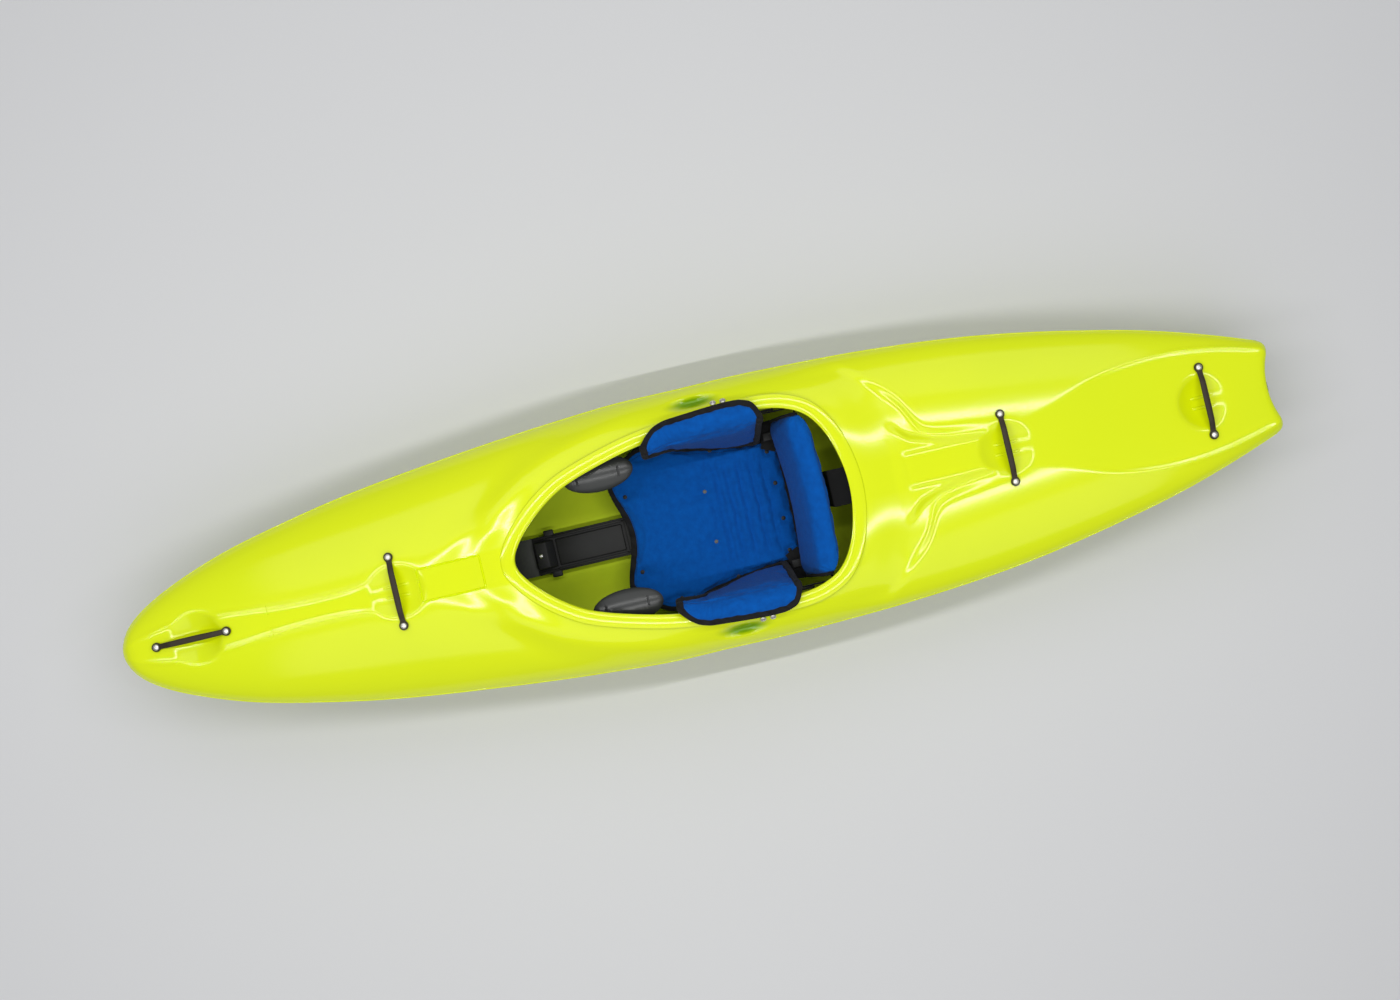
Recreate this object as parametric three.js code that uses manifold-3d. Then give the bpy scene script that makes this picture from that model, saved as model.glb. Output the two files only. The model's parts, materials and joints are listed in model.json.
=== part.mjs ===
// Whitewater kayak: a hollow moulded shell with its coaming, seat, back support, braces, foam and handles.
// Millimetres. +Z is up, the bow points to -X, and z = 0 is the flat of the bottom.
import * as THREE from "three";
import { mergeVertices } from "three/addons/utils/BufferGeometryUtils.js";
import Module from "manifold-3d";

const wasm = await Module();
wasm.setup();

// Hull
const hullLength = 2850;
const hullBeam = 648;
const deckPeak = 345;
const shellWall = 7;
const bottomFlatRise = 4;
const bowRound = 34;
const sternNotch = 21;
const sternRound = 16;
const sternRoundShare = 0.3;
const notchStartShare = 0.9;
const innerFirstShare = 0.01;
const ringTopShare = 1 / 2;

// Facets of the hull, and how far apart points may lie to be one
const outerStations = 36;
const innerStations = 24;
const outerRingSteps = 10;
const innerRingSteps = 7;
const outlineSteps = 26;
const dimpleSteps = 20;
const mergeDistance = 1e-4;
const smallestFacet = 0.1;

// Cockpit opening and its coaming
const cockpitLength = 812;
const cockpitWidth = 448;
const cockpitPlaceShare = -0.0143;
const coamingRise = 15;
const coamingFall = 60;
const coamingDip = 4;
const lipWidth = 34;
const lipThickness = 8;
const lipRound = 3;
const coamingWall = 7;
const coamingSkirt = 13;
const pedestalRise = 10;
const pedestalWidth = 75;

// Deck forms
const scoopDepth = 15;
const scoopLength = 260;
const scoopHalfWidth = 235;
const scoopTail = 60;
const recessDepth = 13;
const recessLength = 160;
const recessWidth = 40;
const recessPlace = 42;
const recessOffsetShare = 0.42747;
const recessOffset = recessOffsetShare * hullBeam;
const panelLength = 154;
const panelWidth = 78;
const panelDepth = 2;
const panelPlaceShare = -0.21193;
const panelPlace = panelPlaceShare * hullLength;

// Clearances
const fitGap = 0.3;
const slideGap = 0.5;
const cutOverrun = 40;

// Grab handles and their bolts
const handleSpan = 166;
const bowHandleSpan = 176;
const handleRise = 13;
const handleWidth = 13;
const handleThickness = 6;
const eyeRadius = 11;
const eyeThickness = 7;
const eyeSides = 12;
const dimpleRadius = 64;
const dimpleDepth = 20;
const boltHeadRadius = 7.5;
const boltHeadHeight = 4.5;
const boltShankRadius = 3;
const boltLength = 26;
const bowHandleShare = -0.43579;
const frontHandleShare = -0.25895;
const rearHandleShare = 0.26491;
const sternHandleShare = 0.43789;

// Seat rail on the floor, and what is fixed to it
const railWidth = 96;
const railHeight = 36;
const railRidge = 4;
const railRidgeWidth = 8;
const railWall = 5;
const railFront = -474;
const railRear = 212;
const frontPlateLength = 50;
const frontPlateThickness = 4;
const bracketPlace = -396;
const bracketLength = 48;
const bracketWidth = 66;
const bracketHeight = 26;
const bracketStep = 10;
const bracketBoltRadius = 6;
const bracketBoltHeight = 4;

// Seat base
const seatFront = -188;
const seatLength = 393;
const seatWidth = 300;
const seatTop = 58;
const seatPlate = 6;
const seatRunner = 8;
const seatRunnerInset = 26;

// Seat pad
const padFront = -198;
const padLength = 413;
const padHalfWidth = 200;
const padThickness = 26;
const padSideRise = 36;
const padFrontRise = 12;
const padNotch = 28;
const padEdge = 6;
const channelDepth = 4;
const channelPitch = 30;
const channelCount = 5;
const channelPlace = 62;
const channelSpread = 9;
const rimShare = 1 / 2;

// Seat wings
const wingLength = 236;
const wingFront = -34;
const wingThickness = 4;
const wingFootInset = 18;
const wingFoot = seatWidth / 2 - wingFootInset;
const wingKnee = 186;
const wingSide = 202;
const wingKneeRise = 9;
const wingSideRise = 44;
const wingTopLevel = 284;

// Hip pads
const hipPadFront = -54;
const hipPadLength = 252;
const hipPadThickness = 20;
const hipPadFoot = 118;
const hipPadFootFront = 188;
const hipPadFootRear = 158;
const hipPadSeatShare = 0.37;
const hipPadWall = wingSide - fitGap - hipPadSeatShare * hipPadThickness;
const hipPadOverhang = 25;
const hipPadLift = 7;
const hipPadCurl = 22;

// Back support
const bandWidth = 388;
const bandHeight = 165;
const bandThickness = 38;
const bandPlace = 228;
const bandFoot = 126;
const bandLean = 48;
const bandBow = 13;
const bandBackShare = 1 / 2;
const bandPlateThickness = 4;
const bandPlateWidth = 372;
const bandPlateHeight = 120;
const strapHeight = 24;
const strapThickness = 2.5;
const strapFront = 206;
const strapLevel = 216;
const ratchetFront = 182;
const ratchetLength = 20;
const ratchetPlate = 7;
const ratchetEar = 4;
const leverThickness = 6;
const leverLength = 40;
const leverPinRadius = 2.5;

// Thigh braces
const braceLength = 172;
const braceWidth = 84;
const braceThickness = 14;
const braceCrown = 10;
const bracePlace = -214;
const braceOffsetShare = 0.25;
const braceOffset = braceOffsetShare * hullBeam;
const braceDrop = 56;
const braceTabLength = 70;
const braceTabThickness = 8;
const braceRailLength = 214;
const braceRailWidth = 18;
const braceReach = 60;
const braceRailOffset = braceOffset + braceReach;
const braceRailLevel = 288;
const braceRailDepth = 40;
const braceSlotDepth = 5;
const braceKnobRadius = 9;
const braceKnobHeight = 9;
const braceStudRadius = 3;
const braceTravel = 20;

// Foam walls
const frontFoamWidth = 62;
const rearFoamWidth = 90;
const rearFoamFront = 322;
const rearFoamShare = 0.39649;
const rearFoamRear = rearFoamShare * hullLength;
const rearFoamNose = 232;
const rearFoamStep = 78;

// Foot rest
const footRestShare = -0.35158;
const footRestPlace = footRestShare * hullLength;
const footPlateThickness = 5;
const footFoamThickness = 38;
const footPlateShare = 0.38581;
const footPlateWidth = footPlateShare * hullBeam;
const footPlateFoot = 128;
const footPlateTop = 292;
const footRestTravel = 130;
const footRailAhead = 188;
const footRailBehind = 312;
const footRailFront = footRestPlace - footRailAhead;
const footRailRear = footRestPlace + footRailBehind;
const footRailHeight = 24;
const footRailThickness = 5;
const footRailLevel = 200;

// Drain plug
const plugSeatDepth = 3;
const plugFlangeRadius = 17;
const plugFlangeThickness = 6;
const plugShankRadius = 9;
const plugShankLength = 24;
const plugGripLength = 26;
const plugGripWidth = 6;
const plugGripHeight = 9;
const plugLevel = 205;

// Side bolts beside the hip pads
const sideBoltShare = 0.40741;
const sideBoltOffset = sideBoltShare * hullBeam;
const sideBoltPlaces = [93, 117];
const sideBoltLean = 0.75;

// Stations along the hull, bow first. Each row: place share of the length, half beam over the root
// of the place, keel, widest line and deck ridge as shares of the deck peak, fullness of the deck
// and of the bottom, and the share of the deck that is flat on top.
const stationShares = [
  [0.0, 1.88, 0.66, 0.72, 0.795, 2.0, 2.0, 0.35],
  [0.02, 1.86, 0.585, 0.712, 0.84, 1.9, 2.0, 0.35],
  [0.05, 1.83, 0.49, 0.7, 0.882, 1.85, 2.05, 0.34],
  [0.1, 1.812, 0.355, 0.675, 0.93, 1.75, 2.15, 0.22],
  [0.15, 1.76, 0.245, 0.65, 0.962, 1.65, 2.3, 0.13],
  [0.2, 1.722, 0.155, 0.625, 0.984, 1.6, 2.45, 0.11],
  [0.25, 1.672, 0.088, 0.602, 0.998, 1.65, 2.6, 0.12],
  [0.3, 1.622, 0.038, 0.58, 1.0, 1.8, 2.8, 0.14],
  [0.35, 1.578, 0.009, 0.562, 1.0, 2.1, 3.0, 0.14],
  [0.4, 1.533, 0.0, 0.545, 0.992, 2.4, 3.2, 0.14],
  [0.45, 1.485, 0.0, 0.53, 0.98, 2.6, 3.4, 0.14],
  [0.5, 1.41, 0.0, 0.52, 0.966, 2.6, 3.5, 0.14],
  [0.55, 1.348, 0.0, 0.52, 0.94, 2.6, 3.6, 0.14],
  [0.6, 1.278, 0.0, 0.52, 0.9, 2.6, 3.6, 0.14],
  [0.65, 1.207, 0.0, 0.527, 0.852, 2.5, 3.5, 0.14],
  [0.7, 1.125, 0.012, 0.54, 0.83, 2.3, 3.4, 0.14],
  [0.75, 1.033, 0.04, 0.556, 0.826, 2.1, 3.3, 0.16],
  [0.8, 0.923, 0.082, 0.574, 0.824, 2.0, 3.2, 0.26],
  [0.85, 0.799, 0.135, 0.594, 0.82, 2.0, 3.1, 0.5],
  [0.9, 0.666, 0.2, 0.615, 0.812, 2.1, 3.0, 0.66],
  [0.95, 0.508, 0.275, 0.637, 0.8, 2.2, 3.0, 0.77],
  [1.0, 0.332, 0.36, 0.66, 0.785, 2.3, 3.0, 0.84],
];

// Half width of the cockpit opening, as shares of its length and half width.
const openingShares = [
  [0, 0],
  [0.0145, 0.15],
  [0.058, 0.34],
  [0.116, 0.52],
  [0.183, 0.665],
  [0.302, 0.81],
  [0.43, 0.915],
  [0.616, 0.985],
  [0.72, 1.0],
  [0.8, 1.0],
  [0.866, 0.95],
  [0.926, 0.82],
  [0.971, 0.56],
  [0.994, 0.25],
  [1, 0],
];

// A smooth curve through rows of a table, read at a place.
function readTable(rows, column, place) {
  const last = rows.length - 1;
  const clamped = Math.min(Math.max(place, rows[0][0]), rows[last][0]);
  let i = 0;
  while (i < last - 1 && rows[i + 1][0] < clamped) i += 1;
  const slopeAt = (k) => {
    const a = rows[Math.max(k - 1, 0)];
    const b = rows[Math.min(k + 1, last)];
    return (b[column] - a[column]) / (b[0] - a[0]);
  };
  const [from, to] = [rows[i], rows[i + 1]];
  const step = to[0] - from[0];
  const u = (clamped - from[0]) / step;
  const rest = 1 - u;
  return (
    from[column] * rest * rest * (1 + 2 * u) +
    to[column] * u * u * (1 + 2 * rest) +
    step * u * rest * (slopeAt(i) * rest - slopeAt(i + 1) * u)
  );
}

const smoothStep = (low, high, value) => {
  const u = Math.min(Math.max((value - low) / (high - low), 0), 1);
  return u * u * (3 - 2 * u);
};

const bowTip = -hullLength / 2;
const halfBeam = hullBeam / 2;
const placeOf = (x) => (x - bowTip) / hullLength;
const cockpitFront = cockpitPlaceShare * hullLength - cockpitLength / 2;

// Opening outline, front point first, round the +Y side and back along the -Y side.
function openingOutline(steps) {
  const side = [];
  for (let k = 0; k <= steps; k += 1) {
    const along = (1 - Math.cos((Math.PI * k) / steps)) / 2;
    const half = Math.max(readTable(openingShares, 1, along), 0);
    const round = k === 0 || k === steps ? 0 : half;
    side.push(new THREE.Vector2(cockpitFront + along * cockpitLength, (round * cockpitWidth) / 2));
  }
  const mirrored = side
    .slice(1, -1)
    .reverse()
    .map((p) => new THREE.Vector2(p.x, -p.y));
  return side.concat(mirrored);
}

const opening = openingOutline(outlineSteps);

// The outline moved outwards in plan by a distance.
function offsetOutline(outline, distance) {
  const count = outline.length;
  return outline.map((p, i) => {
    const before = outline[(i + count - 1) % count];
    const after = outline[(i + 1) % count];
    const along = after.clone().sub(before).normalize();
    return new THREE.Vector2(p.x - along.y * distance, p.y + along.x * distance);
  });
}

const lipOutline = offsetOutline(opening, lipWidth);

function insideOutline(outline, x, y) {
  let inside = false;
  outline.forEach((a, i) => {
    const b = outline[(i + 1) % outline.length];
    if (a.y > y !== b.y > y && x < a.x + ((y - a.y) / (b.y - a.y)) * (b.x - a.x)) inside = !inside;
  });
  return inside;
}

function distanceOutside(outline, x, y) {
  if (insideOutline(outline, x, y)) return 0;
  let nearest = Infinity;
  outline.forEach((a, i) => {
    const b = outline[(i + 1) % outline.length];
    const along = b.clone().sub(a);
    const share = ((x - a.x) * along.x + (y - a.y) * along.y) / along.lengthSq();
    const u = Math.min(Math.max(share, 0), 1);
    nearest = Math.min(nearest, Math.hypot(x - a.x - along.x * u, y - a.y - along.y * u));
  });
  return nearest;
}

// Raised foot of the coaming, the scoop behind it, and the two side recesses.
function deckForms(x, y) {
  const off = Math.abs(y);
  const foot = pedestalRise * (1 - smoothStep(0, pedestalWidth, distanceOutside(lipOutline, x, y)));
  const scoopStart = cockpitFront + cockpitLength;
  const along = (x - scoopStart) / scoopLength;
  const scoopHalf = scoopHalfWidth + (scoopTail - scoopHalfWidth) * smoothStep(0, 1, along);
  const scoop =
    scoopDepth *
    smoothStep(-1 / 2, 0, along) *
    (1 - smoothStep(1 / 3, 1, along)) *
    (1 - smoothStep(1 / 2, 1, off / scoopHalf));
  const recess = Math.hypot((x - recessPlace) / (recessLength / 2), (off - recessOffset) / (recessWidth / 2));
  return foot - scoop - recessDepth * (1 - smoothStep(0, 1, recess));
}

// Everything that one station of the hull needs, with the skin set in by a distance.
function stationAt(place, inset) {
  const row = (column) => readTable(stationShares, column, place);
  const fromBow = place * hullLength;
  const nose = Math.min(fromBow / bowRound, 1);
  const noseRound = Math.sqrt(1 - (1 - nose) * (1 - nose));
  const toStern = (1 - place) * hullLength;
  const edge = Math.max(1 - toStern / sternRound, 0);
  const sternInset = sternRound * (1 - Math.sqrt(1 - edge * edge));
  const side = row(3) * deckPeak;
  const half = Math.max(row(1) * Math.sqrt(place) * halfBeam - inset - sternInset, 0);
  const keelDrop = (side - Math.max(row(2), 0) * deckPeak) * noseRound;
  const deckRise = (row(4) * deckPeak - side) * noseRound;
  return {
    x: bowTip + fromBow,
    half,
    side,
    keel: side - keelDrop + inset + sternInset,
    ridge: side + deckRise - inset - sternInset,
    deckFullness: row(5),
    bottomFullness: row(6),
    flat: row(7) * half,
    notch: sternNotch * smoothStep(notchStartShare, 1, place),
  };
}

function deckHeight(station, y) {
  const share = Math.min(Math.max(Math.abs(y), station.flat) / station.half, 1);
  const n = station.deckFullness;
  const crown = (1 - share ** n) ** (1 / n);
  const fade = smoothStep(0, 1 / 3, crown);
  return station.side + (station.ridge - station.side) * crown + deckForms(station.x, y) * fade;
}

function bottomHeight(station, y) {
  const share = Math.min(Math.abs(y) / station.half, 1);
  const n = station.bottomFullness;
  const depth = station.side - station.keel;
  const rise = depth * (1 - (1 - share ** n) ** (1 / n));
  const flatRise = Math.min(bottomFlatRise, depth / 4);
  return station.keel + (Math.max(rise - flatRise, 0) * depth) / (depth - flatRise);
}

const deckTopAt = (x, y) => deckHeight(stationAt(placeOf(x), 0), y);

// One ring of the skin, from the keel up the +Y side, over the deck and down the -Y side.
function ringAt(place, inset, bottomSteps, deckSteps) {
  const station = stationAt(place, inset);
  const half = [];
  for (let k = 0; k < bottomSteps; k += 1) {
    const y = station.half * Math.sin((Math.PI * k) / (2 * bottomSteps));
    half.push([y, bottomHeight(station, y)]);
  }
  for (let k = 0; k <= deckSteps; k += 1) {
    const y = station.flat + (station.half - station.flat) * Math.cos((Math.PI * k) / (2 * deckSteps));
    half.push([y, k === 0 ? station.side : deckHeight(station, y)]);
  }
  half.push([0, deckHeight(station, 0)]);
  const mirrored = half
    .slice(1, -1)
    .reverse()
    .map(([y, z]) => [-y, z]);
  return half.concat(mirrored).map(([y, z]) => {
    const bend = station.half > 0 ? 1 - (y / station.half) ** 2 : 0;
    return [station.x - station.notch * bend, y, z];
  });
}

// Closed skin through rings of equal count, with a fan at each end, or a point at the first.
function loftGeometry(rings, tip) {
  const count = rings[0].length;
  const points = rings.flat();
  const opposite = (count * ringTopShare) | 0;
  const middle = (ring) => ring[0].map((v, i) => (v + ring[opposite][i]) / 2);
  const startPoint = points.length;
  points.push(tip ?? middle(rings[0]), middle(rings[rings.length - 1]));
  const index = [];
  for (let r = 0; r + 1 < rings.length; r += 1) {
    for (let k = 0; k < count; k += 1) {
      const next = (k + 1) % count;
      const [a, b] = [r * count + k, r * count + next];
      const [c, d] = [a + count, b + count];
      if (k < opposite) index.push(a, b, c, b, d, c);
      else index.push(a, b, d, a, d, c);
    }
  }
  const lastRing = (rings.length - 1) * count;
  for (let k = 0; k < count; k += 1) {
    const next = (k + 1) % count;
    index.push(startPoint, next, k);
    index.push(startPoint + 1, lastRing + k, lastRing + next);
  }
  return indexedGeometry(points, index);
}

function indexedGeometry(points, index) {
  const geometry = new THREE.BufferGeometry();
  geometry.setAttribute("position", new THREE.Float32BufferAttribute(points.flat(), 3));
  geometry.setIndex(index);
  return geometry;
}

// Closed tube whose sections form a ring, such as the coaming.
function hoopGeometry(sections) {
  const count = sections[0].length;
  const total = sections.length;
  const index = [];
  for (let r = 0; r < total; r += 1) {
    const nextRing = ((r + 1) % total) * count;
    for (let k = 0; k < count; k += 1) {
      const next = (k + 1) % count;
      const [a, b] = [r * count + k, r * count + next];
      const [c, d] = [nextRing + k, nextRing + next];
      index.push(a, b, c, b, d, c);
    }
  }
  return indexedGeometry(sections.flat(), index);
}

function toSolid(geometry) {
  const bare = geometry.index ? geometry.toNonIndexed() : geometry.clone();
  bare.deleteAttribute("normal");
  bare.deleteAttribute("uv");
  const merged = mergeVertices(bare, mergeDistance);
  const mesh = new wasm.Mesh({
    numProp: 3,
    vertProperties: new Float32Array(merged.attributes.position.array),
    triVerts: new Uint32Array(merged.index.array),
  });
  return new wasm.Manifold(mesh);
}

function toGeometry(solid) {
  const mesh = solid.getMesh();
  const geometry = new THREE.BufferGeometry();
  geometry.setAttribute("position", new THREE.BufferAttribute(Float32Array.from(mesh.vertProperties), 3));
  geometry.setIndex(new THREE.BufferAttribute(Uint32Array.from(mesh.triVerts), 1));
  return geometry;
}

const moved = (geometry, x, y, z) => geometry.translate(x, y, z);
const boxSolid = (low, high) => {
  const size = high.map((v, i) => v - low[i]);
  const box = new THREE.BoxGeometry(...size);
  return toSolid(moved(box, ...low.map((v, i) => v + size[i] / 2)));
};

// Round bar along an axis, centred on a point.
function rodSolid(point, axis, radius, length, sides = 16) {
  const rod = new THREE.CylinderGeometry(radius, radius, length, sides);
  const turn = new THREE.Quaternion().setFromUnitVectors(new THREE.Vector3(0, 1, 0), axis);
  return toSolid(rod.applyQuaternion(turn).translate(point.x, point.y, point.z));
}

// Hull skins
const bowShares = [0.0012, 0.004, 0.009, 0.016, 0.026, 0.04, 0.058, 0.078];
function stationPlaces(steps, first, last) {
  const places = bowShares.filter((share) => share > first);
  const start = bowShares[bowShares.length - 1];
  for (let k = 1; k <= steps; k += 1) places.push(start + ((last - start) * k) / steps);
  return places;
}

const sternPlace = (setIn) => 1 - setIn / hullLength;
const outerPlaces = stationPlaces(outerStations, 0, sternPlace(sternRound)).concat(
  sternPlace(sternRound * sternRoundShare),
  sternPlace(0),
);
const bowPoint = [bowTip, 0, stationAt(0, 0).side];
const outerRings = outerPlaces.map((place) => ringAt(place, 0, outerRingSteps, outerRingSteps));
const outerSkin = toSolid(loftGeometry(outerRings, bowPoint));
const innerPlaces = stationPlaces(innerStations, innerFirstShare, sternPlace(shellWall + sternRound));
const innerSkinAt = (inset) =>
  toSolid(loftGeometry(innerPlaces.map((place) => ringAt(place, inset, innerRingSteps, innerRingSteps))));
const innerSkin = innerSkinAt(shellWall);
const cavity = innerSkinAt(shellWall + fitGap);

// Coaming
const coamingTop = (x) => {
  const share = (x - cockpitFront) / cockpitLength;
  const dip = 4 * coamingDip * share * (1 - share);
  return deckPeak + coamingRise - coamingFall * Math.min(Math.max(share, 0), 1) - Math.max(dip, 0);
};

function coamingSolid() {
  const ring = (distance) => offsetOutline(opening, distance);
  const offsets = [0, coamingWall, lipWidth - lipRound, lipWidth].map(ring);
  const sections = opening.map((edge, i) => {
    const [inner, wall, lipInner, lip] = offsets.map((outline) => outline[i]);
    const top = coamingTop(edge.x);
    const skirt = deckTopAt(edge.x, edge.y) - coamingSkirt;
    const under = top - lipThickness;
    return [
      [inner.x, inner.y, skirt],
      [wall.x, wall.y, skirt],
      [wall.x, wall.y, under],
      [lipInner.x, lipInner.y, under],
      [lip.x, lip.y, under + lipRound],
      [lip.x, lip.y, top - lipRound],
      [lipInner.x, lipInner.y, top],
      [inner.x, inner.y, top],
    ];
  });
  return toSolid(hoopGeometry(sections));
}

function openingCut() {
  const shape = new THREE.Shape(opening);
  const depth = deckPeak;
  const prism = new THREE.ExtrudeGeometry(shape, { depth, bevelEnabled: false });
  return toSolid(moved(prism, 0, 0, deckPeak / 2));
}

// Grab handle places: centre, half span vector and the dimple under each.
const handles = [
  { name: "bow", x: bowHandleShare * hullLength, span: bowHandleSpan, along: [1, 0] },
  { name: "front", x: frontHandleShare * hullLength, span: handleSpan, along: [0, 1] },
  { name: "rear", x: rearHandleShare * hullLength, span: handleSpan, along: [0, 1] },
  { name: "stern", x: sternHandleShare * hullLength, span: handleSpan, along: [0, 1] },
];

// Level that a flat round foot needs to clear the highest deck under it.
function footLevel(x, y) {
  const around = [];
  for (let k = 0; k < eyeSides; k += 1) {
    const turn = (2 * Math.PI * k) / eyeSides;
    around.push(deckTopAt(x + eyeRadius * Math.cos(turn), y + eyeRadius * Math.sin(turn)));
  }
  return Math.max(...around) + fitGap;
}
const handleEnds = (handle) =>
  [-1, 1].map((side) => {
    const x = handle.x + (side * handle.span * handle.along[0]) / 2;
    const y = (side * handle.span * handle.along[1]) / 2;
    return new THREE.Vector3(x, y, footLevel(x, y));
  });
const up = new THREE.Vector3(0, 0, 1);

const dimpleBallRadius = (dimpleRadius ** 2 + dimpleDepth ** 2) / (2 * dimpleDepth);
function dimpleBall(handle, extra) {
  const ball = new THREE.SphereGeometry(dimpleBallRadius + extra, dimpleSteps, dimpleSteps);
  const level = deckTopAt(handle.x, 0) + dimpleBallRadius - dimpleDepth;
  return toSolid(moved(ball.rotateX(Math.PI / 2), handle.x, 0, level));
}

function sideBoltAxis(side) {
  return new THREE.Vector3(0, side * Math.sin(sideBoltLean), Math.cos(sideBoltLean));
}
const sideBoltPoints = [1, -1].flatMap((side) =>
  sideBoltPlaces.map((place) => {
    const y = side * sideBoltOffset;
    return { side, point: new THREE.Vector3(place, y, deckTopAt(place, y)) };
  }),
);

const plugPoint = new THREE.Vector3(hullLength / 2 - sternNotch, 0, plugLevel);
const alongX = new THREE.Vector3(1, 0, 0);

function hullShell() {
  let shell = outerSkin.subtract(innerSkin).subtract(openingCut()).add(coamingSolid());
  handles.forEach((handle) => {
    const pan = dimpleBall(handle, shellWall).intersect(outerSkin);
    shell = shell.add(pan).subtract(dimpleBall(handle, 0));
  });
  handles.flatMap(handleEnds).forEach((point) => {
    shell = shell.subtract(rodSolid(point, up, boltShankRadius + fitGap, 2 * boltLength, 8));
  });
  sideBoltPoints.forEach(({ side, point }) => {
    const axis = sideBoltAxis(side);
    shell = shell.subtract(rodSolid(point, axis, boltShankRadius + fitGap, 2 * boltLength, 8));
  });
  const plugHole = rodSolid(plugPoint, alongX, plugShankRadius + slideGap, 4 * plugShankLength, 20);
  const outward = plugPoint.clone().setX(plugPoint.x - plugSeatDepth + cutOverrun / 2);
  const plugSeat = rodSolid(outward, alongX, plugFlangeRadius + slideGap, cutOverrun, 24);
  return shell.subtract(plugHole).subtract(plugSeat).subtract(panelCut());
}

// Shallow rectangular panel on the ridge ahead of the cockpit.
function panelCut() {
  const level = deckTopAt(panelPlace, 0) - panelDepth;
  return boxSolid(
    [panelPlace - panelLength / 2, -panelWidth / 2, level],
    [panelPlace + panelLength / 2, panelWidth / 2, level + cutOverrun],
  );
}

const largest = (solid) => {
  const bodies = solid.decompose();
  return bodies.reduce((a, b) => (a.volume() > b.volume() ? a : b));
};

const shell = largest(hullShell());

// A piece cut to lie on the shell, then lifted off it by the fit gap along a direction.
function seatOnShell(raw, lift) {
  const gap = lift.clone().multiplyScalar(fitGap);
  return largest(raw.subtract(shell)).translate(gap.toArray());
}

// Closed pad through a grid: the upper and lower sheets meet along the rim.
function padSolid(columns, rows, upper, lower) {
  const points = [];
  const index = [];
  const edge = (i, j) => i === 0 || j === 0 || i === columns || j === rows;
  const sheet = (surface, other, flip) => {
    const first = points.length;
    for (let i = 0; i <= columns; i += 1) {
      for (let j = 0; j <= rows; j += 1) {
        const [s, t] = [i / columns, j / rows];
        const point = surface(s, t);
        const twin = other(s, t);
        points.push(edge(i, j) ? point.map((v, k) => (v + twin[k]) / 2) : point);
      }
    }
    for (let i = 0; i < columns; i += 1) {
      for (let j = 0; j < rows; j += 1) {
        const a = first + i * (rows + 1) + j;
        const [b, c, d] = [a + 1, a + rows + 1, a + rows + 2];
        if (flip) index.push(a, b, c, b, d, c);
        else index.push(a, c, b, b, c, d);
      }
    }
  };
  sheet(upper, lower, false);
  sheet(lower, upper, true);
  return facingOut(points, index);
}

// Solid of a closed mesh, its faces turned round if they point inwards.
function facingOut(points, index) {
  const solid = toSolid(indexedGeometry(points, index));
  return solid.volume() > 0 ? solid : toSolid(indexedGeometry(points, index.reverse()));
}

// Outline extruded along X from one place to another, drawn in Y and Z.
function alongHull(outline, from, to) {
  const shape = new THREE.Shape(outline.map(([y, z]) => new THREE.Vector2(y, z)));
  const prism = new THREE.ExtrudeGeometry(shape, { depth: to - from, bevelEnabled: false });
  prism.applyMatrix4(new THREE.Matrix4().set(0, 0, 1, from, 1, 0, 0, 0, 0, 1, 0, 0, 0, 0, 0, 1));
  return toSolid(prism);
}

// Outline extruded across the boat, drawn in X and Z.
function acrossHull(outline, from, to) {
  const shape = new THREE.Shape(outline.map(([x, z]) => new THREE.Vector2(x, z)));
  const prism = new THREE.ExtrudeGeometry(shape, { depth: to - from, bevelEnabled: false });
  prism.applyMatrix4(new THREE.Matrix4().set(1, 0, 0, 0, 0, 0, -1, to, 0, 1, 0, 0, 0, 0, 0, 1));
  return toSolid(prism);
}
const hullEnds = (length) => [-length / 2, length / 2];

// Grab handle: an arched bar with a flat eye at each end, and a bolt through each eye.
function handleSolid(handle) {
  const [start, end] = handleEnds(handle);
  const lift = eyeThickness / 2;
  const middle = start.clone().add(end).divideScalar(2);
  const ends = [start, end].map((point) => {
    const inward = middle.clone().sub(point).setLength(boltHeadRadius + slideGap);
    return point.clone().add(inward).setZ(point.z + lift);
  });
  const crest = middle.clone().setZ(middle.z + lift + 2 * handleRise);
  const path = new THREE.QuadraticBezierCurve3(ends[0], crest, ends[1]);
  const section = new THREE.Shape();
  section.absellipse(0, 0, handleWidth / 2, handleThickness / 2, 0, 2 * Math.PI);
  const bar = new THREE.ExtrudeGeometry(section, {
    steps: 10,
    curveSegments: 2,
    bevelEnabled: false,
    extrudePath: path,
  });
  let solid = toSolid(bar);
  [start, end].forEach((point) => {
    const centre = point.clone().setZ(point.z + lift);
    solid = solid.add(rodSolid(centre, up, eyeRadius, eyeThickness, eyeSides));
  });
  solid = solid.simplify(smallestFacet);
  [start, end].forEach((point) => {
    solid = solid.subtract(rodSolid(point, up, boltShankRadius + fitGap, boltLength, 8));
  });
  return solid;
}

// Domed head with a shank, its head's underside at a point.
function boltSolid(point, axis, length) {
  const profile = [
    new THREE.Vector2(0, -length),
    new THREE.Vector2(boltShankRadius, -length),
    new THREE.Vector2(boltShankRadius, 0),
    new THREE.Vector2(boltHeadRadius, 0),
    new THREE.Vector2(boltHeadRadius, boltHeadHeight / 2),
    new THREE.Vector2(boltHeadRadius / 2, boltHeadHeight),
    new THREE.Vector2(0, boltHeadHeight),
  ];
  const bolt = new THREE.LatheGeometry(profile, 8);
  const turn = new THREE.Quaternion().setFromUnitVectors(new THREE.Vector3(0, 1, 0), axis);
  return toSolid(bolt.applyQuaternion(turn).translate(point.x, point.y, point.z));
}

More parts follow.
